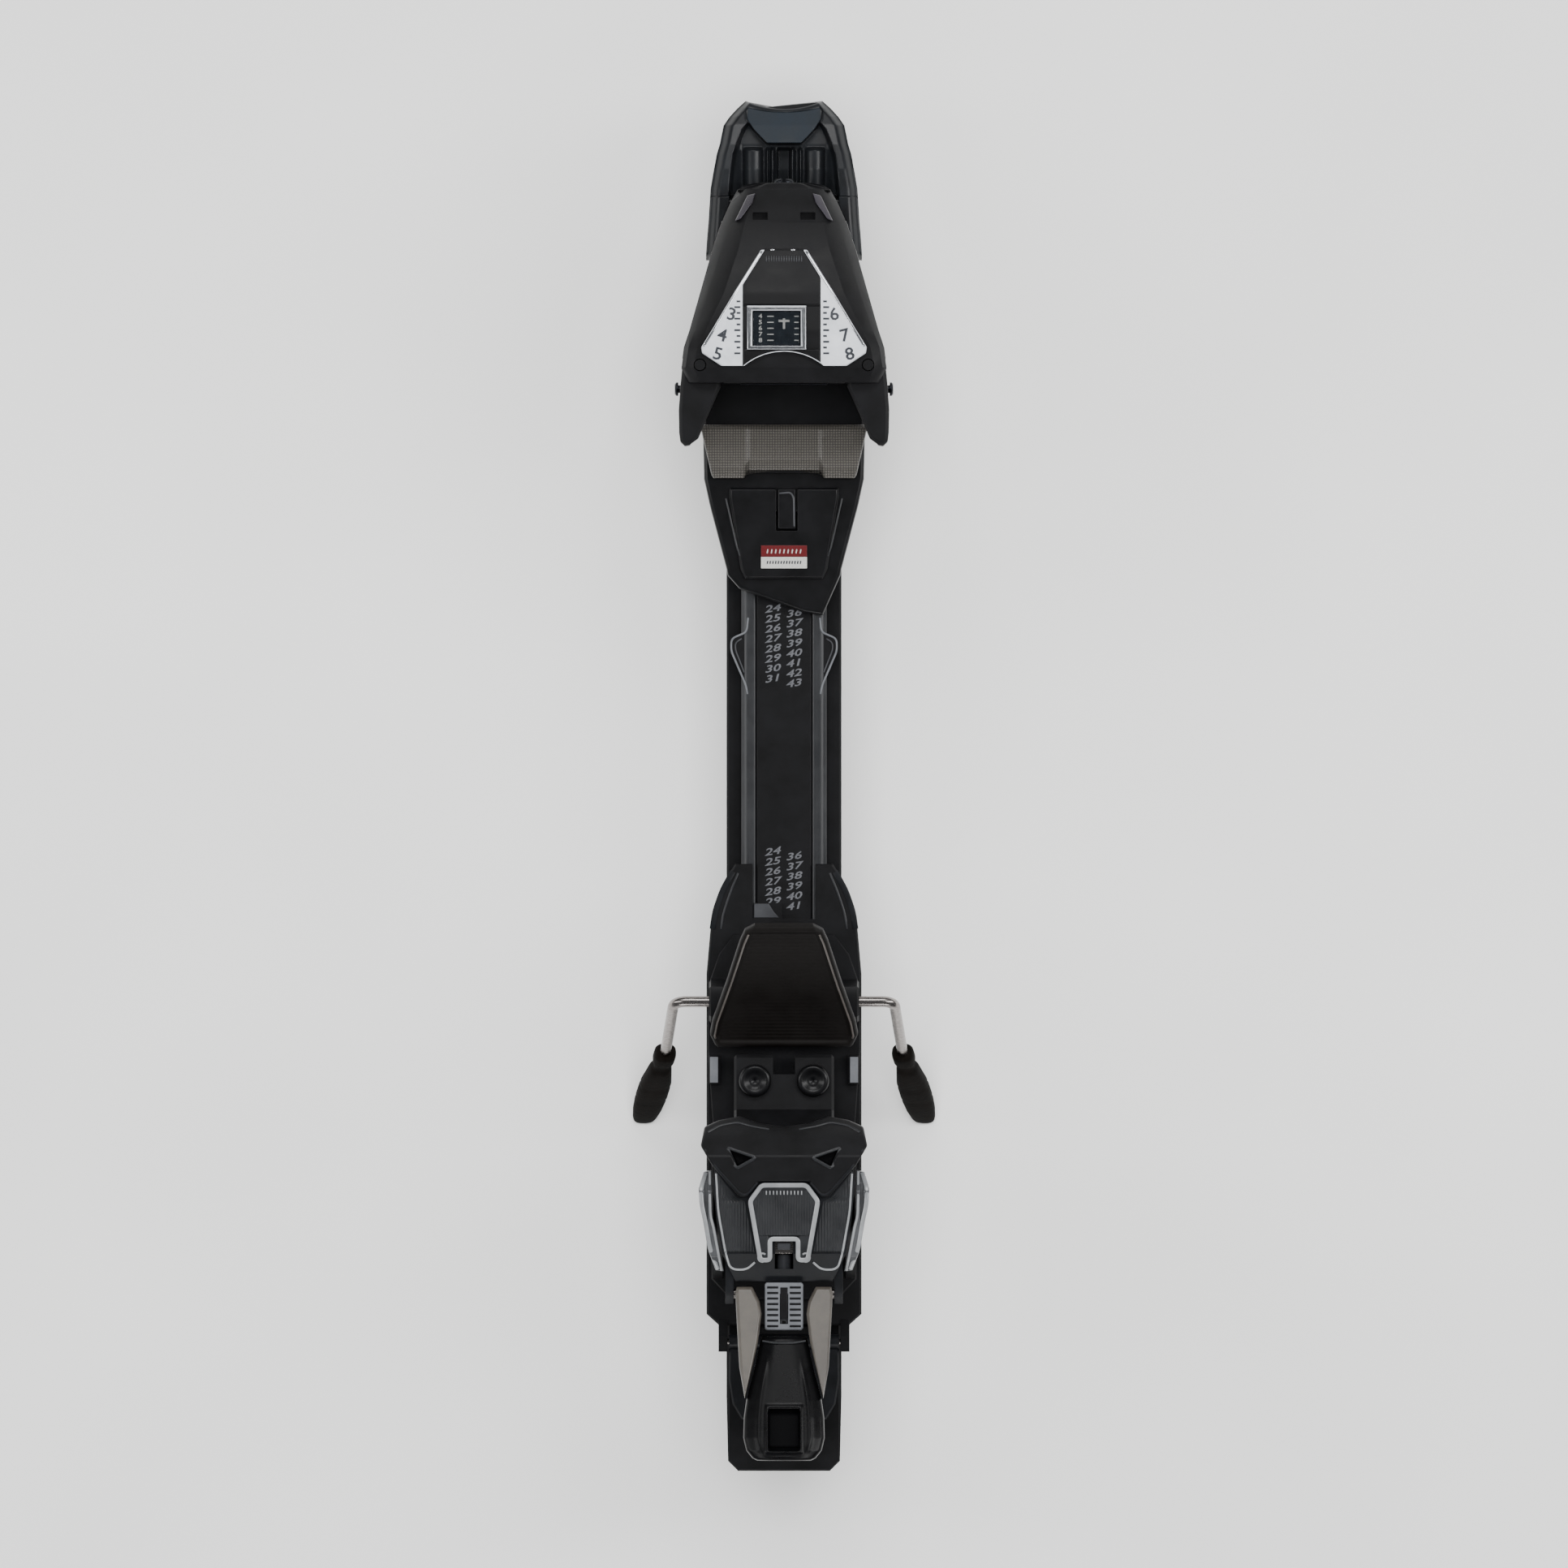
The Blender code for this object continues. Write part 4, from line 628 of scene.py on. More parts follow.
def build_plate_marks():
    """Ticks every 2.3 mm down both inner edges of the silver, figures beside them, a row of short
    bars and two bright ends at the narrow front, and a bead along each long side."""
    ticks = []
    for i in range(1, 11):
        y = 188.6 - 2.3 * i
        long = 2.4 if i % 2 == 0 else 1.5
        for x in (-17.4 - long / 2, 15.6 + long / 2):
            ticks.append((x, y, height_at(y, ROOF) + TICK_LIFT, long, 0.8, 0.25, 0.0, slope_at(y, ROOF)))
    piece("top_plate_ticks", "toe_unit", "dark_ink", bars(ticks))
    figure_turn = 14.0
    rows = [(text, x, y, height_at(y, ROOF) + FIGURE_LIFT, math.copysign(figure_turn, x), slope_at(y, ROOF))
            for text, x, y in (("4", -24.6, 172.6), ("5", -26.4, 165.2), ("7", 24.2, 172.6),
                               ("8", 26.2, 165.2), ("6", 20.0, 181.0), ("3", -20.9, 181.0))]
    figures("top_plate_figures", "toe_unit", "dark_ink", rows, 4.9, 0.2, 0.0, 1.1)
    z = height_at(203.4, ROOF) + MARK_LIFT
    piece("apex_hatch", "toe_unit", "grey",
          bars([(-7.0 + i, 203.4, z, 2.2, 0.42, 0.2, 90.0, -0.3) for i in range(15)]))
    z = height_at(206.9, ROOF) + MARK_LIFT
    piece("apex_bright_ends", "toe_unit", "chrome",
          bars([(x, 206.9, z, 1.7, 0.6, 0.3, 0.0, 0.0) for x in (-4.6, 3.6)]))
    for label, s in SIDES:
        y = np.linspace(206.4, 168.4, 30)
        path = np.stack([s * (between(y, PLATE_EDGE) - 0.75), y, between(y, ROOF) + PLATE_BEAD_LIFT], -1)
        line_bead("top_plate_bead_%s" % label, "toe_unit", "chrome", path, 0.9, 0.5)


def build_window():
    """Scale cards under the pane, one each side of the pointer's path, and a dark floor below, which is
    painted shade in the window.
    """
    for label, x0, x1 in (("left", -12.3, -3.6), ("right", 3.6, 6.5)):
        y, x = np.linspace(168.7, 182.3, 14)[:, None], np.linspace(x0, x1, 6)[None]
        piece("window_card_%s" % label, "toe_unit", "void", [slab(x, y, between(y, ROOF) - 0.9, 0.4)])
    # painted shade: the dark floor under the window
    x, y = np.linspace(1.3, 6.4, 6)[None], np.linspace(169.4, 181.8, 8)[:, None]
    piece("window_baffle", "toe_unit", "void", [slab(s * x, y, 53.4, 0.4) for s in (-1.0, 1.0)])
    rows, ticks = [], []
    for i in range(5):
        y = 180.4 - 2.4 * i
        z = height_at(y, ROOF) - 0.82
        rows.append((str(4 + i), -9.4, y, z, 0.0, -0.12))
        ticks += [(-5.4, y, z, 2.6, 0.45, 0.2, 0.0, 0.0), (5.0, y, z, 1.8, 0.45, 0.2, 0.0, 0.0)]
    figures("window_figures", "toe_unit", "white", rows, 1.7, 0.14, 0.0, 1.25)
    piece("window_ticks", "toe_unit", "white", bars(ticks))


def build_pointer():
    """A white cross of two short blades that follows the spring nut, on a dark stem."""
    stem = [carried([(0.0, 176.4, 47.4), (0.0, 200.0, 47.4)], bead(5.8, 1.4, 0.4, 12)),
            carried([(0.0, 177.4, 47.6), (0.0, 177.38, 54.2)], bead(1.6, 4.4, 0.4, 12))]
    piece("toe_pointer_stem", "toe_nut", "void", stem, ("toe_pointer",))
    blade = [carried(ends, bead(1.0, 0.7, 0.5, 10)) for ends in (
        [(0.0, 179.6, 54.6), (0.0, 175.4, 54.6)], [(-2.2, 178.6, 54.6), (2.2, 178.6, 54.6)])]
    piece("toe_pointer_blade", "toe_nut", "white", blade)


def build_brow():
    """Rounded visor that closes the front of the toe housing: facetted sections that shrink forward."""
    y = np.array([230.6, 231.6, 232.6, 233.4, 233.9, 234.1])[:, None]
    w = np.array([18.6, 18.2, 16.6, 14.2, 11.4, 8.6])[:, None]
    top = np.array([38.35, 37.9, 37.2, 36.7, 36.3, 36.0])[:, None]
    low = np.array([29.5, 31.2, 33.4, 34.8, 35.4, 35.6])[:, None]
    x = np.linspace(-1.0, 1.0, 41)[None] * w
    drop = np.maximum(np.abs(x) - (w - 8.6 * w / 18.5), 0.0) * 0.62
    piece("housing_brow", "toe_unit", "black", [crust(x, y, np.maximum(top - drop, low + 0.2), low)])


REST_REAR, REST_FRONT = 116.2, 137.7


def build_toe_rest_top():
    """Sliding rest: raised sides, a lower middle, a notch in the rear edge and a sloping rear band;
    its underside is hollow over the guide rail."""
    u, v = np.linspace(-1.0, 1.0, 150)[None], crowd(60)[:, None]
    x = u * between(REST_REAR + (REST_FRONT - REST_REAR) * v,
                    [(REST_REAR, 28.1), (117.4, 29.0), (136.2, 33.3), (REST_FRONT, 32.2)])
    ax = np.abs(x)
    rear = REST_REAR + 3.1 * (1.0 - step(ax, 14.4, 16.2))
    y = rear + v * (REST_FRONT - rear)
    z = 22.0 + 0.75 * step(ax, 13.6, 15.4)
    z = z - 1.2 * (1.0 - step(y - rear, 0.0, 3.6)) - 1.4 * step(y, 135.6, REST_FRONT)
    z = z + 0.22 * np.exp(-((y - rear - 4.2) / 0.5) ** 2)
    low = np.where((v > 0.19) & (v < 0.69), 20.75, 19.35) + 0 * x
    piece("toe_rest_pressing", "toe_rest", "taupe", [crust(x, y, z, low, 0.9)], ("toe_rest_plate",))


LABEL_TOP = 19.42


def build_toe_slide_details():
    """Latch lip, the two-colour label with rows of dashes, and a bead down each side of the cover."""
    path = rounded([(-1.9, 110.2, 18.75), (2.7, 110.6, 18.75), (3.9, 108.4, 18.75), (4.1, 97.0, 18.75)], 1.4)
    line_bead("toe_latch_lip", "toe_latch", "grey", path, 0.8, 0.5)
    for label, finish, y0, y1, stands_for in (("upper", "label_red", 84.9, 89.4, ("toe_label",)),
                                              ("lower", "label_white", 80.2, 84.8, ())):
        x, y = np.linspace(-9.2, 9.2, 20)[None], np.linspace(y0, y1, 8)[:, None]
        piece("label_%s" % label, "toe_unit", finish, [slab(x, y, LABEL_TOP, 0.38)], stands_for, False, 0.12)
    piece("label_dashes_pale", "toe_unit", "label_white",
          bars([(-6.6 + 1.65 * i, 87.0, LABEL_TOP + 0.04, 1.7, 0.5, 0.1, 80.0, 0.0) for i in range(9)]))
    piece("label_dashes_dark", "toe_unit", "dark_ink",
          bars([(-6.6 + 1.1 * i, 82.6, LABEL_TOP + 0.08, 1.2, 0.55, 0.16, 80.0, 0.0) for i in range(13)]))
    for label, s in SIDES:
        path = rounded([(s * 23.2, 108.2, 18.2), (s * 21.6, 101.0, 18.4), (s * 18.9, 89.0, 18.45),
                        (s * 17.6, 85.2, 18.4)], 1.5)
        line_bead("toe_cover_bead_%s" % label, "toe_unit", "rail_grey", path, 0.7, 0.45)


# ---------------------------------------------------------------- track
SCALE_PITCH = 4.0
SCALE_FACE = 10.9
SCALE_TURN = 9.0


def build_rail():
    """Satin chamfer strips along the rail, a lighter grey as painted sheen, the stops' light outlines and
    two blocks of scale figures.
    """
    across = np.array([11.5, 12.0, 13.3, 13.55, 13.8, 15.1, 15.9, 16.2, 16.4, 17.05])[None]
    high = np.array([10.68, 10.86, 10.86, 10.74, 10.86, 10.86, 10.36, 10.08, 9.96, 9.44])[None]
    y = np.linspace(-243.6, 198.6, 60)[:, None]
    for label, s in SIDES:
        # painted sheen: chamfer strips drawn a lighter grey than the rail
        piece("rail_chamfer_%s" % label, "track", "rail_grey", [slab(s * across, y, high, 0.26)])
        path = rounded([(s * 14.4, 60.5, 10.75), (s * 14.9, 54.8, 10.7), (s * 21.0, 52.2, 10.45),
                        (s * 21.2, 47.4, 10.45), (s * 15.2, 33.4, 10.7), (s * 14.6, 30.0, 10.75)], 1.8)
        line_bead("stop_outline_%s" % label, "track", "pale_grey", path, 0.8, 0.5)
        path = rounded([(s * 16.9, 52.2, 10.62), (s * 19.4, 50.6, 10.62), (s * 19.5, 47.8, 10.62),
                        (s * 15.9, 38.6, 10.62)], 1.4)
        line_bead("stop_inner_line_%s" % label, "track", "grey", path, 0.6, 0.4)
    rows = []
    for count, first in ((8, 64.2), (6, -33.0)):
        for i in range(count):
            y = first - SCALE_PITCH * i
            rows += [(str(24 + i), -4.3, y, SCALE_FACE, SCALE_TURN, 0.0),
                     (str(36 + i), 4.2, y - 1.9, SCALE_FACE, SCALE_TURN, 0.0)]
    figures("length_scale_figures", "track", "ink", rows, 2.8, 0.16, 0.42, 1.6)


# ---------------------------------------------------------------- brake
BRAKE_AXLE_Y, BRAKE_AXLE_Z = -93.0, 18.0
WIRE_FALL = math.tan(math.radians(61.4))
CRANK_REACH, CRANK_TURN = 20.0, math.radians(64.0)
TIP_START, TIP_LENGTH = -113.5, 26.5
# tip sections down the wire: place along y, half width, half thickness
TIP_SECTIONS = [(-113.2, 3.3, 3.3), (-113.5, 3.9, 3.9), (-114.0, 4.4, 4.4), (-116.0, 4.4, 4.4),
                (-116.4, 3.9, 3.9), (-116.9, 3.1, 3.1), (-118.6, 3.1, 3.1), (-119.2, 3.9, 3.6),
                (-120.2, 4.6, 4.1), (-122.5, 5.3, 4.0), (-125.5, 6.2, 3.9), (-126.4, 5.8, 3.6),
                (-127.2, 6.3, 3.9), (-131.0, 6.4, 3.7), (-131.8, 5.9, 3.4), (-132.6, 6.3, 3.6),
                (-136.4, 5.8, 3.3), (-139.4, 4.9, 2.8), (-140.6, 4.2, 2.3), (-141.2, 3.6, 1.7)]


def wire_height(y):
    """Height of the wire's straight leg, which falls steeply from the axle."""
    return BRAKE_AXLE_Z + WIRE_FALL * (y - BRAKE_AXLE_Y)


def squared(wave):
    """A cosine or sine drawn a little towards a square wave."""
    return np.sign(wave) * np.abs(wave) ** 0.75


def build_brake_looks():
    """Wires: a round section carried along a path with eased corners. Tips: a collar, a neck and a
    flat paddle as squared ovals across the wire's direction."""
    crank_y = BRAKE_AXLE_Y + CRANK_REACH * math.cos(CRANK_TURN)
    crank_z = BRAKE_AXLE_Z + CRANK_REACH * math.sin(CRANK_TURN)
    y, half_wide, half_thick = np.array(TIP_SECTIONS).T
    back = np.array([0.0, -WIRE_FALL, 1.0]) / math.hypot(WIRE_FALL, 1.0)
    t = np.linspace(0.0, 2 * np.pi, 36, endpoint=False)
    for label, s in SIDES:
        corners = [(s * 8.0, crank_y, crank_z), (s * 19.0, crank_y, crank_z),
                   (s * 19.0, BRAKE_AXLE_Y, BRAKE_AXLE_Z), (s * 44.0, BRAKE_AXLE_Y, BRAKE_AXLE_Z)]
        corners += [(s * px, py, wire_height(py)) for px, py in ((47.5, -113.5), (49.63, -120.0))]
        piece("brake_wire_%s" % label, "brake", "steel",
              [carried(rounded(corners, 5.0, 9), bead(4.4, 4.4, 1.0, 24))], ("brake_arm_%s" % label,))
        x = s * (47.5 + (56.2 - 47.5) * (TIP_START - y) / TIP_LENGTH)
        centre = np.stack([x, y, wire_height(y)], -1)
        across = np.array([1.0, 0.0, 0.0]) * (half_wide[:, None] * squared(np.cos(t)))[..., None]
        through = back * (half_thick[:, None] * squared(np.sin(t)))[..., None]
        piece("brake_tip_moulding_%s" % label, "brake", "tip_brown",
              [loft(centre[:, None] + across + through)], ("brake_tip_%s" % label,))


PEDAL_TILT = math.radians(30.0)
PEDAL_HINGE_Y, PEDAL_HINGE_Z = -110.0, 24.0
PAD_START, PAD_END = 0.4, 56.4
PAD_WIDE = [(PAD_START, 26.8), (1.4, 27.6), (6.0, 29.6), (12.0, 28.6), (30.0, 23.0), (49.0, 17.6),
            (54.0, 15.6), (PAD_END, 11.6)]


def tilt_pedal(x, along, up):
    """Pedal coordinates: turned about its hinge line and set down at the hinge."""
    c, s = math.cos(PEDAL_TILT), math.sin(PEDAL_TILT)
    return np.stack([x + 0 * along, PEDAL_HINGE_Y + along * c - up * s + 0 * x,
                     PEDAL_HINGE_Z + along * s + up * c + 0 * x], -1)


def build_pedal_pad():
    """Rubber pad: a low field with close cross ribs inside a raised rim, its outer edge a quarter round; a
    paler line along each side of the rim is painted highlight."""
    v, u = crowd(150)[:, None], np.linspace(-1.0, 1.0, 110)[None]
    along = PAD_START + 56.0 * v
    wide = between(along, PAD_WIDE)
    x = u * wide
    inward = np.minimum(wide - np.abs(x), np.minimum(along - PAD_START, PAD_END - along))
    field = step(inward, 2.6, 3.6)
    up = 3.7 + 0.35 * np.exp(-((inward - 1.9) / 0.7) ** 2) - 0.55 * field
    up = up + 0.10 * field * np.sin(2 * np.pi * along / 1.6) * step(inward, 4.0, 5.0)
    t = np.clip(inward / 1.3, 0.0, 1.0)
    up = up - 1.3 * (1.0 - np.sqrt(1.0 - (1.0 - t) ** 2))
    under = tilt_pedal(x, along, 0.4)[:, [-1, 0]]
    piece("pedal_pad", "pedal", "soft_black", [loft(np.concatenate([tilt_pedal(x, along, up), under], 1))],
          ("brake_pedal",))
    along = np.linspace(5.0, 53.0, 40)
    # painted highlight: a paler brown line along each side of the rim
    for label, s in SIDES:
        path = tilt_pedal(s * (between(along, PAD_WIDE) - 1.9), along, 4.05)
        line_bead("pedal_rim_%s" % label, "pedal", "rim_brown", path, 0.8, 0.45)


# ---------------------------------------------------------------- heel unit
CUP_ROOF = [(-175.0, 81.0), (-154.0, 81.0), (-146.0, 75.0), (-138.4, 64.0)]
SHELL_CROWN = [(-160.0, 67.4), (-168.0, 73.8), (-194.0, 73.8), (-200.0, 69.6)]
CUP_BROWS = (
    ("rib_grey", [(6.0, -143.6), (12.6, -142.4), (18.4, -140.8), (25.6, -142.0), (30.2, -144.6)]),
    ("dark_grey", [(31.6, -151.4), (27.2, -158.4), (17.4, -169.2), (14.8, -169.6), (10.6, -164.6)]))
SHELL_BANDS = (
    (1.8, [(31.2, -160.8), (33.2, -167.2), (32.7, -174.0), (31.3, -180.0), (29.5, -191.0), (26.4, -199.2)]),
    (1.1, [(29.5, -160.4), (29.5, -170.0), (29.3, -178.0), (28.1, -182.4), (26.0, -193.6), (24.8, -199.6)]))
PLATE_RIDGES = (("dark_grey", 2.4, [(20.4, -41.0), (24.6, -48.4), (27.6, -57.0), (28.6, -64.0)]),
                ("rail_grey", 0.9, [(18.4, -41.6), (21.6, -49.6), (24.4, -58.0), (25.2, -64.0)]))


def build_tread_studs():
    """Two dished discs with a rolled rim, turned from one profile."""
    profile = [(0.02, 0.05), (2.0, 0.05), (3.0, 0.2), (3.9, 0.8), (4.8, 1.15), (5.6, 1.0), (6.2, 0.45),
               (6.5, -0.4), (6.5, -3.6), (0.02, -3.6)]
    piece("tread_studs", "heel_jaw", "satin_black",
          [turned((x, -124.5, 29.9), profile) for x in (-11.6, 11.6)])


def build_cup_trim(label, s):
    """Raised rim and black floor of the cup's window, the floor being painted shade, and the brow lines
    along its wing. The floor is a triangle swept from one corner."""
    corners = on_outline(s, [(11.0, -154.6), (22.6, -150.6), (19.0, -159.0)], CUP_ROOF, 0.15)
    path = rounded(corners, 1.6, 7, True)
    line_bead("cup_window_rim_%s" % label, "heel_jaw", "rib_grey", path, 1.3, 0.7, 0.8, 12, True)
    # painted shade: a black floor inside the window
    a, b, c = (np.array(p) for p in ((11.7, -154.1), (21.6, -151.2), (18.6, -158.2)))
    t, w = np.linspace(0.02, 1.0, 10)[:, None], np.linspace(0.0, 1.0, 10)[None]
    x, y = (a[k] + t * ((b[k] - a[k]) * (1 - w) + (c[k] - a[k]) * w) for k in (0, 1))
    piece("cup_window_floor_%s" % label, "heel_jaw", "void", [slab(s * x, y, 77.6, 0.3)])
    for i, (finish, line) in enumerate(CUP_BROWS):
        line_bead("cup_brow_%d_%s" % (i, label), "heel_jaw", finish,
                  rounded(on_outline(s, line, CUP_ROOF, 0.1), 2.4, 7), 1.0, 0.5)


def build_shell_trim(label, s):
    """Pale edge bands of the side shell, painted highlight along its edges, close lengthwise ribs on the
    housing's shoulder, the trim along them and round the rear corner, and a small hook at the rear of the
    cover."""
    # painted highlight: pale bands along the shell's edges
    for i, (size, line) in enumerate(SHELL_BANDS):
        line_bead("shell_band_%d_%s" % (i, label), "heel_jaw", "smoke_edge",
                  rounded(on_outline(s, line, SHELL_CROWN, 0.1), 3.0, 7), size, 0.8, 0.8, 12)
    y = np.linspace(-192.4, -159.8, 46)[:, None]
    inner = between(y, [(-192.4, 11.6), (-172.0, 15.6), (-170.4, 18.8), (-165.0, 23.4), (-159.8, 27.0)])
    outer = between(y, [(-192.4, 24.0), (-180.0, 26.2), (-165.0, 27.8), (-159.8, 27.4)])
    w = np.linspace(0.0, 1.0, 90)[None]
    x = inner + (outer - inner) * w
    z = 76.2 + 0.16 * np.sin(2 * np.pi * x / 1.15) * step(np.minimum(w, 1.0 - w), 0.0, 0.03)
    piece("housing_ribs_%s" % label, "heel_jaw", "rib_grey", [slab(s * x, y, z, 0.5)])
    path = rounded([(s * 27.0, -161.0, 76.45), (s * 26.2, -176.0, 76.45), (s * 23.3, -192.4, 76.4),
                    (s * 21.3, -199.2, 71.8), (s * 15.0, -199.4, 71.7), (s * 11.6, -196.4, 73.8)], 3.0, 7)
    line_bead("housing_trim_%s" % label, "heel_jaw", "smoke_edge", path, 0.9, 0.6, 0.8, 12)
    t = np.linspace(-0.6 * np.pi, 0.75 * np.pi, 16)
    path = np.stack([s * (8.6 + 1.7 * np.cos(t)), -194.4 + 1.7 * np.sin(t), 79.3 + 0 * t], -1)
    line_bead("cover_hook_%s" % label, "heel_jaw", "smoke_edge", path, 0.8, 0.6, 0.9)


def build_cover():
    """Pale outline of the top cover, a painted highlight along its edges, a dark field ribbed lengthwise and
    a row of short teeth.
    """
    right = [(8.9, -165.6), (13.5, -171.9), (9.4, -195.4), (5.6, -195.4), (5.6, -187.0)]
    outline = [(-x, y) for x, y in reversed(right)] + right
    # painted highlight: the pale outline round the cover's edges
    path = rounded([(x, y, 79.35) for x, y in outline], 1.4, 5, True)
    line_bead("cover_outline", "heel_jaw", "smoke_edge", path, 1.9, 0.7, 0.9, 14, True)
    y = np.linspace(-185.8, -167.6, 40)[:, None]
    u = np.linspace(-1.0, 1.0, 110)[None]
    x = u * between(y, [(-185.8, 9.9), (-172.4, 11.9), (-167.6, 8.8)])
    z = 79.42 + 0.14 * np.sin(2 * np.pi * x / 1.05) * step(1.0 - np.abs(u), 0.0, 0.03)
    piece("cover_field", "heel_jaw", "rib_grey", [slab(x, y, z, 0.5)])
    piece("cover_teeth", "heel_jaw", "smoke_edge",
          bars([(-7.0 + 1.4 * i, -168.6, 79.7, 1.6, 0.5, 0.3, 90.0, 0.0) for i in range(11)]))


BLOCK_FACE = 71.3


def build_setting_block():
    """Ladder of dark ribs on the setting block, either side of a slot, and a black bar down the slot that is
    painted shade.
    """
    rungs = [(x, -206.4 - 2.2 * i, BLOCK_FACE, 4.4, 0.85, 0.45, 0.0, 0.0)
             for i in range(8) for x in (-4.5, 4.5)]
    # painted shade: a black bar where the slot is dark
    rungs += [(0.0, -212.6, BLOCK_FACE, 12.4, 3.0, 0.45, 90.0, 0.0)]
    piece("setting_block_ladder", "heel_jaw", "black", bars(rungs))


SLIDING_PLATE_FACE = 13.68


def build_carriage_details():
    """Ridges along the front corners of the sliding plate, the length index and the side patches."""
    for label, s in SIDES:
        for i, (finish, size, line) in enumerate(PLATE_RIDGES):
            path = rounded([(s * x, y, SLIDING_PLATE_FACE) for x, y in line], 3.0, 7)
            line_bead("plate_ridge_%d_%s" % (i, label), "heel_carriage", finish, path, size, 0.5, 0.8, 12)
    y = np.linspace(-59.4, -53.9, 8)[:, None]
    x = -11.9 + between(y, [(-59.4, 9.8), (-56.8, 7.6), (-53.9, 5.8)]) * np.linspace(0.0, 1.0, 12)[None]
    piece("length_index_patch", "heel_carriage", "grey", [slab(x, y, 13.0, 0.3)], (), False, 0.1)
    for label, s in SIDES:
        x, y = s * np.linspace(26.4, 29.6, 8)[None], np.linspace(-125.4, -115.1, 12)[:, None]
        piece("side_patch_%s" % label, "heel_unit", "pale_grey", [slab(x, y, 19.6, 0.35)], (), False, 0.12)


LEVER_WIDE = [(-225.8, 8.9), (-229.0, 9.7), (-238.0, 11.6), (-251.0, 15.0), (-258.0, 16.0), (-266.0, 16.2),
              (-271.0, 15.0), (-274.0, 12.6), (-275.0, 10.6)]


def lever_climb(y):
    """How far the lever has risen at a place behind its foot."""
    return 0.32 * (-206.0 - y)


def build_lever_looks():
    """Crowned grip: the middle stands proud of the sides by a power of the distance from the centre
    line, the whole climbs to the rear, and a pocket for a pole tip sinks near the end."""
    y = -225.8 - 49.2 * crowd(150)[:, None]
    u = np.linspace(-1.0, 1.0, 120)[None]
    x = u * between(y, LEVER_WIDE)
    ax, au, back = np.abs(x), np.abs(u), -y
    top = 68.9 + lever_climb(y) - 2.9 * au ** 2.6
    along_ridge = step(back, 232.0, 246.0) * (1 - step(back, 268.0, 273.0))
    top = top + 0.55 * np.exp(-((au - 0.64) / 0.07) ** 2) * along_ridge
    pocket = step(6.6 - ax, 0.0, 1.3) * step(back, 254.0, 256.0) * (1.0 - step(back, 269.6, 271.4))
    lips = step(7.9 - ax, 0.0, 1.0) * step(back, 252.4, 254.0) * (1.0 - step(back, 271.4, 272.8))
    top = top + 0.4 * lips - 4.6 * pocket
    piece("lever_grip", "lever", "gloss_black", [crust(x, y, top, 60.5 + lever_climb(y), 1.6)],
          ("heel_lever",))
    # painted shade: a black floor in the pole-tip pocket
    y, x = np.linspace(-270.0, -255.6, 12)[:, None], np.linspace(-5.9, 5.9, 10)[None]
    piece("lever_pocket_floor", "lever", "void", [slab(x, y, 65.1 + lever_climb(y), 0.4)])
    path = rounded([(-8.6, -227.6, 76.0), (-4.0, -228.4, 76.45), (4.0, -228.4, 76.45), (8.6, -227.6, 76.0)],
                   2.0)
    line_bead("lever_front_bead", "lever", "rib_grey", path, 0.8, 0.5)


build_nose()
build_plate_film()
build_plate_marks()
build_window()
build_pointer()
build_brow()
build_toe_rest_top()
build_toe_slide_details()
build_rail()
build_brake_looks()
build_pedal_pad()
build_tread_studs()
for side_label, side in SIDES:
    build_cup_trim(side_label, side)
    build_shell_trim(side_label, side)
build_cover()
build_setting_block()
build_carriage_details()
build_lever_looks()


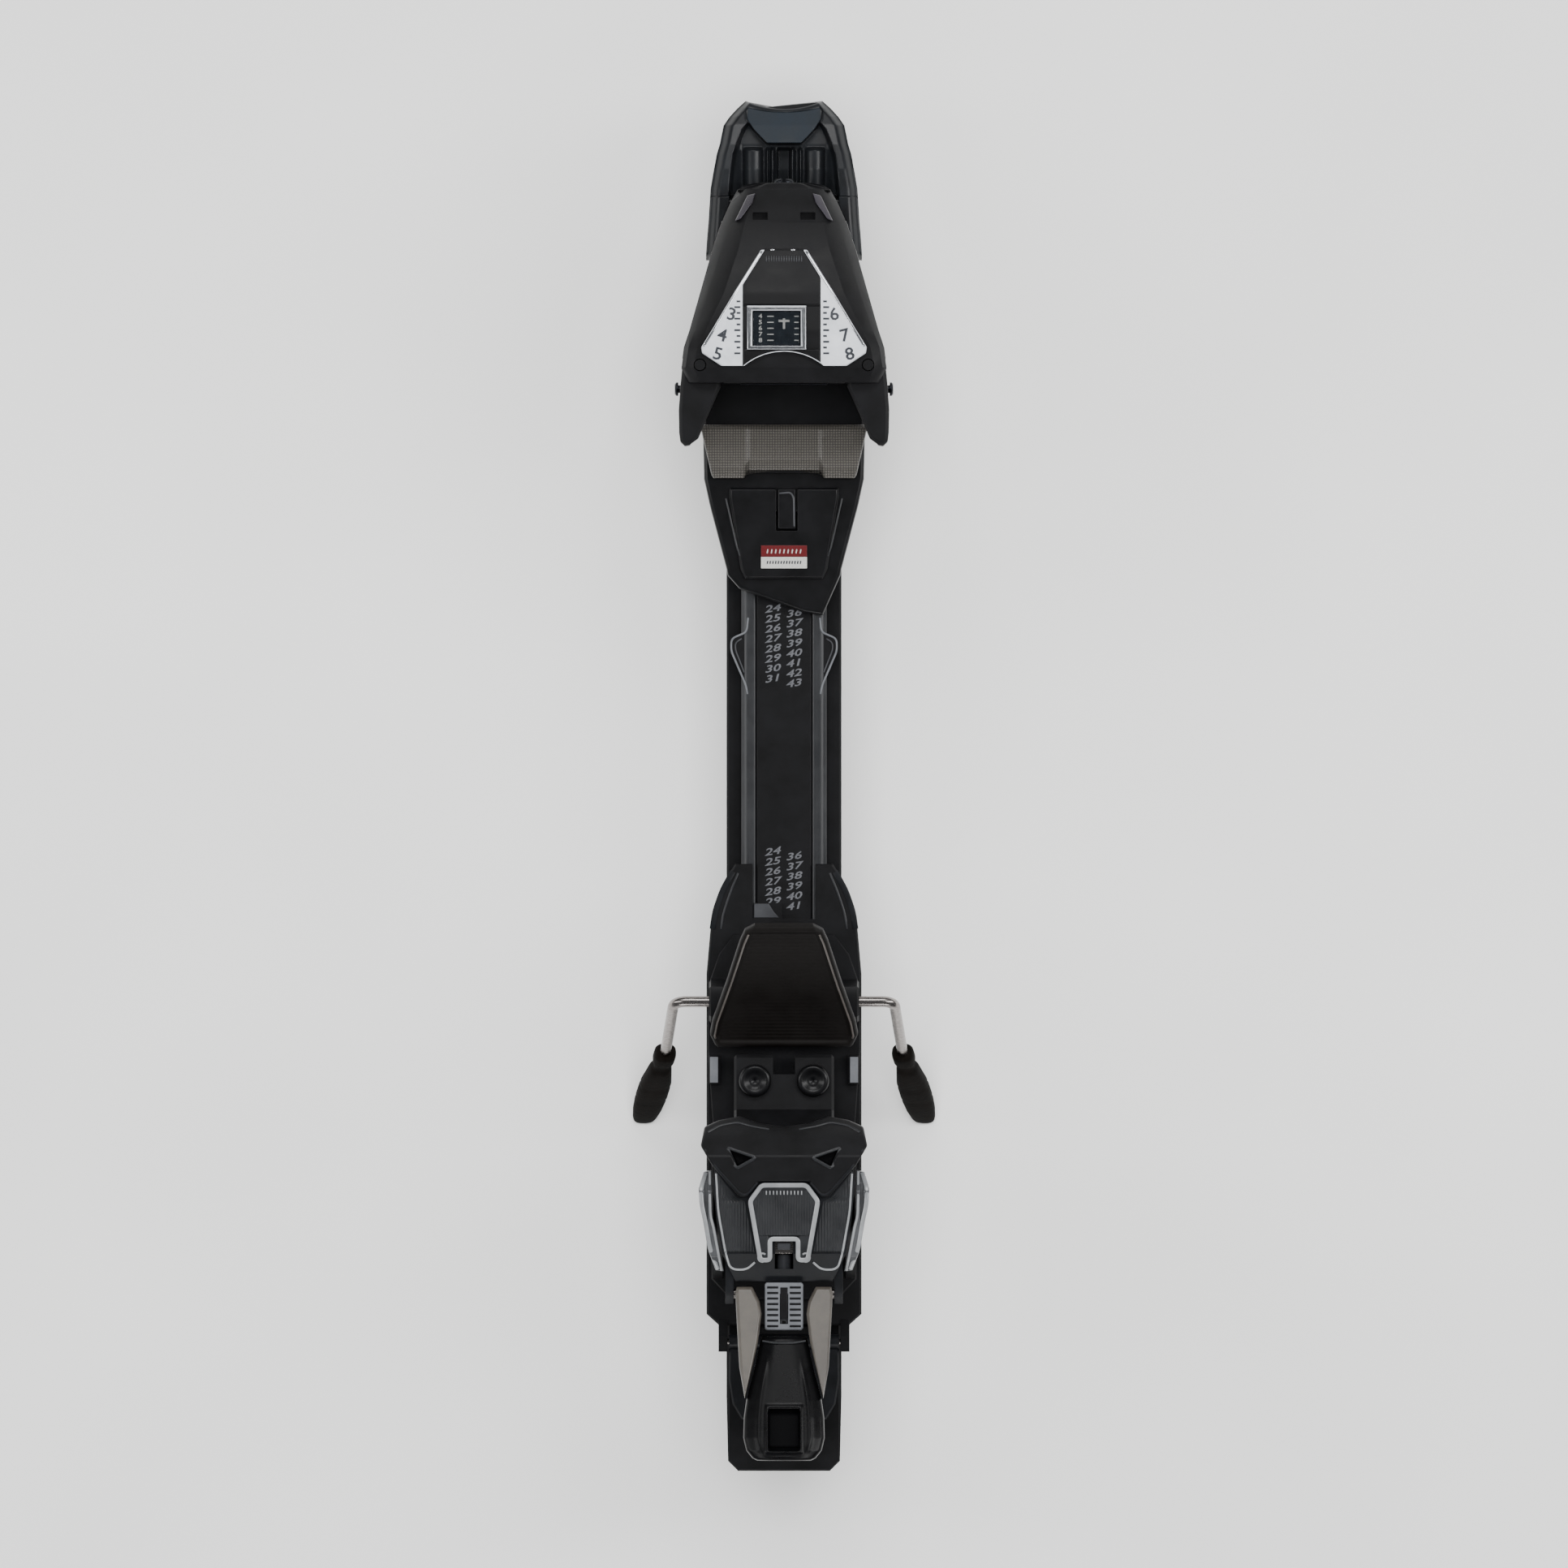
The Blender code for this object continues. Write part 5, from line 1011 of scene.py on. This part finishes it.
# ---------------------------------------------------------------- floor, light and camera
def backdrop():
    """A pale floor at the height of the brake's lowest point, as wide as the view needs."""
    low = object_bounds()[0][2]
    half = 3.0
    mesh = bpy.data.meshes.new("studio_floor")
    mesh.from_pydata([(-half, -half, low), (half, -half, low), (half, half, low), (-half, half, low)],
                     [], [(0, 1, 2, 3)])
    floor = bpy.data.objects.new("studio_floor", mesh)
    bpy.context.scene.collection.objects.link(floor)
    mat, tree, shader, place = blank("studio_paper", 0.85)
    shade = node(tree, "ShaderNodeTexNoise", {"Vector": place, "Scale": 0.004, "Detail": 2.0})
    tint(tree, shader, shade.outputs["Fac"], "#e9e9e8", "#f1f1f0")
    mesh.materials.append(mat)


def softbox(name, place, aim, size, watts):
    """A rectangular lamp at a place, turned to face its aim."""
    lamp = bpy.data.lights.new(name, "AREA")
    lamp.shape = "RECTANGLE"
    lamp.size, lamp.size_y = size
    lamp.energy = watts
    obj = bpy.data.objects.new(name, lamp)
    bpy.context.scene.collection.objects.link(obj)
    obj.location = place
    obj.rotation_euler = (Vector(aim) - Vector(place)).to_track_quat("-Z", "Y").to_euler()
    return obj


def studio():
    """Dim sky, a large lamp overhead that leaves no reflection, strips at the four sides, and a
    long lens high above, so that tall pieces don't lean outwards."""
    world = bpy.data.worlds.new("studio")
    bpy.context.scene.world = world
    world.use_nodes = True
    sky = world.node_tree.nodes["Background"]
    sky.inputs["Color"].default_value = srgb("#eef1f4")
    sky.inputs["Strength"].default_value = 0.21
    above = softbox("overhead", (0.0, 0.2, 3.7), (0.0, 0.0, 0.0), (1.8, 1.8), 168.0)
    above.visible_glossy = above.visible_camera = False
    softbox("front_strip", (0.0, 1.9, 2.3), (0.0, 0.1, 0.0), (1.8, 0.7), 34.0)
    softbox("key_right", (1.5, 0.4, 1.5), (0.0, 0.0, 0.0), (0.5, 1.8), 24.0)
    softbox("fill_left", (-1.5, 0.2, 1.3), (0.0, 0.0, 0.0), (0.4, 1.8), 13.0)
    softbox("rear_strip", (0.0, -1.7, 0.9), (0.0, -0.15, 0.0), (1.2, 0.4), 10.0)
    view = bpy.data.cameras.new("view_from_above")
    view.lens, view.sensor_width = 688.0, 36.0
    view.clip_end = 40.0
    camera = bpy.data.objects.new("view_from_above", view)
    bpy.context.scene.collection.objects.link(camera)
    camera.location = (0.0, -0.006, 12.0)
    bpy.context.scene.camera = camera


backdrop()
studio()
